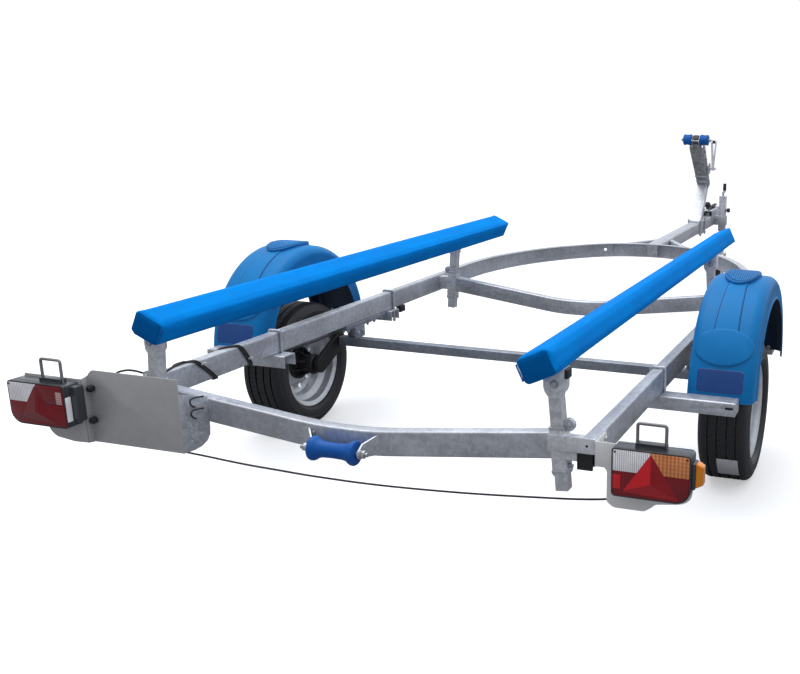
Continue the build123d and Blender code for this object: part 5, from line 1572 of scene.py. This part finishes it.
def make_keel_roller():
    """The spool-shaped blue roller between its ears, with the pin's nuts and the foot bolts."""
    centre = Vector((0, -1.200, 0.397))
    half, full, waist = 0.074, 0.0362, 0.0225
    outline = [(0.0082, -half), (full - 0.008, -half), (full - 0.002, -half + 0.002), (full, -half + 0.006),
               (full - 0.0005, -half + 0.013), (full - 0.003, -half + 0.018), (waist + 0.0065, -half + 0.024),
               (waist + 0.0035, -half + 0.030), (waist + 0.001, -half + 0.042), (waist, 0)]
    roller = spun("keel_roller_rubber", both_halves(outline), centre, X, 72)
    dressed(roller, roller_blue, "keel_roller", ["keel_roller"])
    ears = from_node("keel_roller_bracket", "keel_roller_ears", 0.0012, 2)
    dressed(ears, galvanised_bright, nodes=["keel_roller_bracket"])
    fasteners("keel_pin_nuts", NUT, [(centre + X * side * 0.0868, X * side) for side in (-1, 1)], 1.3)
    feet = [((side * 0.098, -1.1505, z), -Y) for side in (-1, 1) for z in (0.392, 0.424)]
    fasteners("keel_foot_bolts", BOLT, feet, 0.6)


# ---- Winch post ---------------------------------------------------------------------------------

KNEE = Vector((0, 3.824, 0.771))
BOW_ROLLER = Vector((0, 3.512, 1.097))
HEAD_UP = (BOW_ROLLER - KNEE).normalized()
HEAD_AHEAD = Vector((0, HEAD_UP.z, -HEAD_UP.y))
SHAFT = Vector((0, 3.74165, 0.88597))


def make_winch_post():
    """The winch post with the nuts of its saddle and its side bolts."""
    post = from_node("winch_post", "winch_post_tube", 0.0025, 3)
    dressed(post, galvanised_bright, nodes=["winch_post"])
    nuts = [((x, y, z), way) for x in (-0.045, 0.045) for y in (3.565, 3.715)
            for z, way in ((0.513, Z), (0.421, -Z))]
    fasteners("winch_saddle_nuts", NUT, nuts, 0.9)
    sides = [((side * 0.034, 3.70, 0.592), X * side) for side in (-1, 1)]
    fasteners("winch_post_bolts", BOLT, sides, 0.9)


def make_winch_head():
    """The trough over the post, its bands, a dark lining that paints the shade inside it, and the bow rollers
    on their pin.
    """
    frame_of_head = Matrix((X, HEAD_UP, HEAD_AHEAD)).transposed().to_4x4()
    frame_of_head = Matrix.Translation(KNEE) @ frame_of_head
    head = from_node("winch_head", "winch_head_trough", 0.0012, 2)
    head.data.transform(frame_of_head.inverted())
    for corner in head.data.vertices:
        if corner.co.y < -0.04 and corner.co.z < -0.02:
            corner.co.y += 0.030
        elif 0.37 < corner.co.y < 0.40 and abs(corner.co.x) > 0.030:
            corner.co.y += 0.022
    head.data.transform(frame_of_head)
    dressed(head, galvanised_dull, nodes=["winch_head"])
    bands = []
    for along, half in ((0.057, 0.0430), (0.112, 0.0445)):
        band = block("head_band", (-half, along - 0.008, -0.0385), (half, along + 0.008, -0.0345))
        bands.append(softened(band, 0.001))
    band = joined("head_bands", bands)
    band.data.transform(frame_of_head)
    band.data.flip_normals()
    dressed(band, galvanised_bright)
    low, pitch, rows = 0.010, 0.036, 9
    # The dark ribbed lining inside the trough is painted shade.
    lining = block("head_shade_lining", (-0.034, low, -0.0305), (0.034, 0.330, -0.0275))
    with Bench(lining) as bench:
        bench.verts(lambda co: co.y > 0.2)
        bpy.ops.transform.resize(value=(1.30, 1, 1), center_override=(0, 0, 0))
        for row in range(1, rows):
            bench.cut((0, low + pitch * row, 0), Y)
        bench.faces(lambda f: f.normal.z > 0.9)
        bpy.ops.mesh.inset(thickness=0.004, use_individual=True)
        bench.extrude((0, 0, 0.0015))
    lining.data.transform(frame_of_head)
    lining.data.flip_normals()
    dressed(softened(lining, 0.0006), dark_steel)
    outline = [(0.0082, 0.0), (0.030, 0.0), (0.0355, 0.0025), (0.038, 0.008), (0.0375, 0.020),
               (0.0345, 0.032), (0.0355, 0.046), (0.038, 0.053), (0.0365, 0.0585), (0.031, 0.062),
               (0.0082, 0.062)]
    rollers = [spun("bow_roller", outline, BOW_ROLLER + X * side * 0.028, X * side, 56) for side in (-1, 1)]
    dressed(joined("bow_roller_pair", rollers), roller_blue, nodes=["bow_rollers"])
    waist = both_halves([(0.0095, -0.0195), (0.030, -0.0195), (0.0335, -0.016)])
    dressed(spun("bow_roller_spacer", waist, BOW_ROLLER, X, 48), dark_rubber)
    nuts = [((side * 0.0905, BOW_ROLLER.y, BOW_ROLLER.z), X * side) for side in (-1, 1)]
    fasteners("bow_pin_nuts", NUT, nuts, 1.2)
    sides = [(KNEE + HEAD_UP * along + X * side * (0.038 + 0.0276 * (along + 0.05)), X * side)
             for along in (0.02, 0.26, 0.34) for side in (-1, 1)]
    fasteners("winch_head_bolts", BOLT, sides, 1.0)


def make_winch_drum():
    """The winch: flanged drum with wound webbing, its spur gear and the cranked handle."""
    drum = spun("winch_drum_core", both_halves([(0.0, -0.0275), (0.0425, -0.0275), (0.0425, -0.0245),
                                                (0.0225, -0.0235)]), SHAFT, X, 56)
    shaft = round_bar("winch_shaft", SHAFT - X * 0.058, SHAFT + X * 0.104, 0.009, 24)
    parts = [drum, softened(shaft, 0.001)]
    gear_outline = [(0.010, 0.052), (0.0365, 0.052), (0.0365, 0.060), (0.010, 0.060)]
    gear = spun("winch_gear", gear_outline, SHAFT, X, 36)

    def from_shaft(face):
        return face.calc_center_median() - SHAFT

    with Bench(gear):
        mesh = bmesh.from_edit_mesh(gear.data)
        rim = [f for f in mesh.faces if from_shaft(f).length > 0.062 and abs(f.normal.x) < 0.1
               and from_shaft(f).yz.length > 0.034]
        rim.sort(key=lambda f: math.atan2(from_shaft(f).z, from_shaft(f).y))
        for index, face in enumerate(rim):
            face.select_set(index % 2 == 0)
        bmesh.update_edit_mesh(gear.data)
        bpy.ops.mesh.extrude_region_shrink_fatten(TRANSFORM_OT_shrink_fatten={"value": 0.0042})
    parts.append(softened(gear, 0.0005))
    handle_reach = 0.190
    for inner, outer, wide, thick in ((0.076, 0.074, 0.015, 0.012), (0.080, 0.1035, 0.010, 0.009)):
        crank = block("winch_crank", (0, SHAFT.y - wide, SHAFT.z - 0.016),
                      (thick, SHAFT.y + wide, SHAFT.z + 0.200))
        rounded(crank, X, wide * 0.9, 6)
        for corner in crank.data.vertices:
            rise = min(max((corner.co.z - SHAFT.z) / handle_reach, 0.0), 1.0)
            corner.co.x += inner + (outer - thick - inner) * rise
        parts.append(softened(painted(crank, bright_zinc), 0.001))
    for part in parts:
        if not part.data.materials:
            painted(part, galvanised_bright)
    grip = spun("winch_grip", [(0.0, 0.060), (0.010, 0.060), (0.0125, 0.063), (0.0118, 0.072),
                               (0.0112, 0.080), (0.0122, 0.090), (0.0122, 0.0945), (0.0, 0.0945)],
                (0, SHAFT.y, SHAFT.z + handle_reach), X, 32)
    webbing = spun("winch_webbing", [(0.0228, -0.021), (0.0355, -0.0215), (0.0368, -0.018), (0.0360, -0.006),
                                     (0.0372, 0.004), (0.0362, 0.016), (0.0350, 0.0215), (0.0228, 0.021)],
                   SHAFT, X, 48)
    parts += [painted(grip, black_plastic), painted(webbing, strap_grey)]
    placed(joined("winch_drum_unit", parts), "winch_drum", ["winch_drum"])


# ---- Coupling and jockey wheel ------------------------------------------------------------------------

def make_coupling():
    """The ball coupling, its locking lever and its bolts."""
    head = from_node("coupling_head", "coupling_casting", 0.003, 3)
    dressed(head, galvanised, nodes=["coupling_head"])
    lever = from_node("coupling_lever", "coupling_handle", 0.003, 3)
    dressed(lever, black_plastic, nodes=["coupling_lever"])
    bolts = [((side * 0.045, y, 0.500), X * side) for side, y in ((-1, 4.030), (-1, 4.165), (1, 4.165))]
    fasteners("coupling_bolts", BOLT, bolts, 1.05)


def make_jockey():
    """The jockey wheel in its fork and leg, with the crank's grip and the clamp's knob and nuts."""
    clamp = from_node("jockey_clamp", "jockey_clamp_tube", 0.002, 2)
    dressed(clamp, galvanised, nodes=["jockey_clamp"])
    for node in ("jockey_leg", "jockey_fork"):
        piece = from_node(node, f"{node}_steel", 0.0012, 2)
        dressed(piece, galvanised_bright, node, [node])
    wheel_centre = Vector((0.100, 4.065, 0.100))
    tread = [(0.070, -0.0260), (0.090, -0.0255), (0.0965, -0.0220), (0.0992, -0.0170), (0.1000, -0.0080),
             (0.0980, -0.0060)]
    inside = [(0.066, 0.0220), (0.064, 0.010), (0.064, -0.010), (0.066, -0.0220)]
    tyre = spun("jockey_tyre", both_halves(tread) + inside, wheel_centre, X, 64)
    dressed(tyre, tyre_rubber, "jockey_wheel", ["jockey_wheel"])
    hub = [(0.0082, -0.030), (0.019, -0.030), (0.021, -0.026), (0.024, -0.009), (0.060, -0.007),
           (0.0655, -0.0215)]
    centre = spun("jockey_wheel_centre", both_halves(hub), wheel_centre, X, 48)
    spokes, spoke_count = [], 6
    for index in range(spoke_count):
        spoke = block("jockey_spoke", (-0.018, -0.0025, 0.022), (0.018, 0.0025, 0.063))
        turn = Matrix.Rotation(math.radians(360 / spoke_count * index), 4, "X")
        spoke.data.transform(Matrix.Translation(wheel_centre) @ turn)
        spokes.append(softened(spoke, 0.001, 1))
    dressed(joined("jockey_wheel_centre", [centre, *spokes]), rim_silver, "jockey_wheel")
    grip = spun("jockey_crank_grip", [(0.0, 0.690), (0.0100, 0.690), (0.0130, 0.694), (0.0135, 0.705),
                                      (0.0122, 0.722), (0.0130, 0.738), (0.0110, 0.745), (0.0, 0.746)],
                (0.100, 4.160, 0), Z, 28)
    knob = spun("jockey_clamp_knob", [(0.0, 0.004), (0.007, 0.004), (0.007, 0.010), (0.015, 0.012),
                                      (0.0175, 0.018), (0.0165, 0.030), (0.0125, 0.034), (0.0, 0.034)],
                (0.124, 4.110, 0.545), X, 24)
    for handle in (grip, knob):
        dressed(handle, black_plastic)
    fasteners("jockey_clamp_nuts", NUT, [((0.060, 4.075, z), -Y) for z in (0.448, 0.486)], 0.8)


# ---- Cables tied along the left rail -------------------------------------------------------------------

def make_rail_cables():
    """Two turns of twin cable tied round the left rail, the lead up from the panel and a run below."""
    inner, outer, middle, over, under = -0.7262, -0.7738, -0.750, 0.5108, 0.4232
    pieces = []
    for index, (y_outer, y_top, y_inner) in enumerate(((-0.935, -0.895, -0.790), (-0.715, -0.672, -0.600))):
        turn = [(outer, y_outer - 0.02, under + 0.004), (outer, y_outer - 0.01, 0.46),
                (outer - 0.001, y_outer, over - 0.012), (outer + 0.006, y_outer + 0.010, over),
                (middle, y_top, over), (inner - 0.006, y_top + 0.016, over),
                (inner + 0.001, y_top + 0.030, over - 0.014), (inner, (y_top + y_inner) / 2 + 0.02, 0.462),
                (inner, y_inner, under + 0.006), (inner - 0.004, y_inner + 0.004, under),
                (middle, y_inner + 0.006, under)]
        for strand in (0, 0.0125):
            route = [(x, y + strand, z) for x, y, z in turn]
            pieces.append(cable_line(f"rail_cable_{index}_{int(strand * 1e4)}", route, 0.0029, cable_sheath))
    lead = [(-0.745, -1.236, 0.500), (-0.738, -1.232, 0.540), (-0.725, -1.222, 0.563),
            (-0.712, -1.195, 0.566), (-0.709, -1.165, 0.557), (-0.710, -1.130, 0.540),
            (-0.712, -1.090, 0.520), (-0.718, -1.050, 0.512), (-0.735, -1.000, 0.5105),
            (-0.748, -0.960, 0.5105), (-0.755, -0.925, 0.5112), (-0.752, -0.900, 0.514)]
    pieces.append(cable_line("rail_cable_lead", lead, 0.0033, cable_sheath))
    under_run = [(-0.735, -0.388, 0.4240), (-0.735, -0.300, 0.4200), (-0.736, -0.180, 0.4150),
                 (-0.735, -0.060, 0.4175), (-0.734, 0.030, 0.4235)]
    pieces.append(cable_line("under_rail_cable", under_run, 0.0032, cable_sheath))
    for piece in pieces:
        placed(piece, "frame")
    cap = block("under_rail_cap", (-0.747, 0.500, 0.3980), (-0.722, 0.545, 0.4280))
    dressed(softened(cap, 0.003), black_plastic)
    ties = []
    for y, z in ((-0.598, 0.453), (-0.842, 0.494)):
        band = block("cable_tie", (-0.7285, y - 0.011, z - 0.0022), (-0.7215, y + 0.016, z + 0.0022))
        head = block("cable_tie_head", (-0.7225, y - 0.004, z - 0.0045), (-0.7180, y + 0.004, z + 0.0045))
        ties += [softened(band, 0.001), softened(head, 0.001)]
    dressed(joined("cable_ties", ties), tie_white)


# ---- Build ---------------------------------------------------------------------------------------------

make_lamp_cable()
make_glands()
make_rails()
make_rail_plugs()
make_hoop()
make_drawbar()
make_cross_member("rear_cross_tube", "rear_crossmember", REAR_POST_Y, 0.076, 0.511, 0.063, 0.0030)
make_cross_member("front_cross_tube", "front_crossmember", FRONT_POST_Y, 0.070, 0.499, 0.072, 0.0025)
make_axle()
make_wheels()
make_mudguards()
make_guard_bars()
make_u_bolts()
make_bunks()
make_posts()
for lamp_name in LAMPS:
    make_lamp(lamp_name)
make_right_bracket()
make_left_bracket()
make_keel_roller()
make_winch_post()
make_winch_head()
make_winch_drum()
make_coupling()
make_jockey()
make_rail_cables()
for pattern in (BOLT, NUT):
    bpy.data.objects.remove(pattern)


# ---- Floor and light --------------------------------------------------------------------------------------

def make_floor():
    """A pale floor that reads white from the camera and gives back only a little light."""
    bpy.ops.object.select_all(action="DESELECT")
    bpy.ops.mesh.primitive_circle_add(vertices=96, radius=300, fill_type="NGON", location=(0, 0, 0))
    floor = settled("floor")
    material = bpy.data.materials.new("pale_floor")
    material.use_nodes = True
    net = Net(material.node_tree)
    shader = material.node_tree.nodes["Principled BSDF"]
    seen = net.add("ShaderNodeLightPath").outputs["Is Camera Ray"]
    net.put(shader.inputs["Base Color"], net.mix(seen, (0.24, 0.24, 0.25, 1), (0.80, 0.80, 0.80, 1)))
    shader.inputs["Emission Color"].default_value = (1, 1, 1, 1)
    net.put(shader.inputs["Emission Strength"], net.math("MULTIPLY", seen, FLOOR_GLOW))
    shader.inputs["Roughness"].default_value = 0.95
    shader.inputs["Specular IOR Level"].default_value = 0.0
    floor.data.materials.append(material)


def area_light(name, place, target, size, power, colour=(1, 1, 1)):
    """A round soft light that looks at a target."""
    light = bpy.data.lights.new(name, "AREA")
    light.shape, light.size, light.energy, light.color = "DISK", size, power, colour
    lamp = bpy.data.objects.new(name, light)
    lamp.location = place
    lamp.rotation_euler = (Vector(target) - Vector(place)).to_track_quat("-Z", "Y").to_euler()
    bpy.context.scene.collection.objects.link(lamp)


def make_sky():
    """A soft sky, brighter ahead than behind, that the camera sees as plain white."""
    world = bpy.data.worlds.new("studio")
    world.use_nodes = True
    bpy.context.scene.world = world
    net = Net(world.node_tree)
    back = world.node_tree.nodes["Background"]
    way = net.add("ShaderNodeSeparateXYZ", {0: net.add("ShaderNodeTexCoord").outputs["Generated"]}).outputs
    low = net.mix(net.between(way["Y"], -0.35, 0.6), (0.32, 0.33, 0.35, 1), (0.95, 0.99, 1.05, 1))
    glow = net.mix(net.between(way["Z"], 0.05, 0.95), low, (0.86, 0.90, 0.97, 1))
    seen = net.add("ShaderNodeLightPath").outputs["Is Camera Ray"]
    net.put(back.inputs["Color"], net.mix(seen, glow, (1, 1, 1, 1)))


FLOOR_GLOW = 0.42
make_floor()
make_sky()
area_light("overhead", (-1.0, 0.5, 7.0), (0, 1.0, 0.4), 6.0, 260, (1.0, 0.99, 0.97))
bpy.context.scene.view_settings.view_transform = "Standard"
bpy.context.scene.view_settings.exposure = 0.0
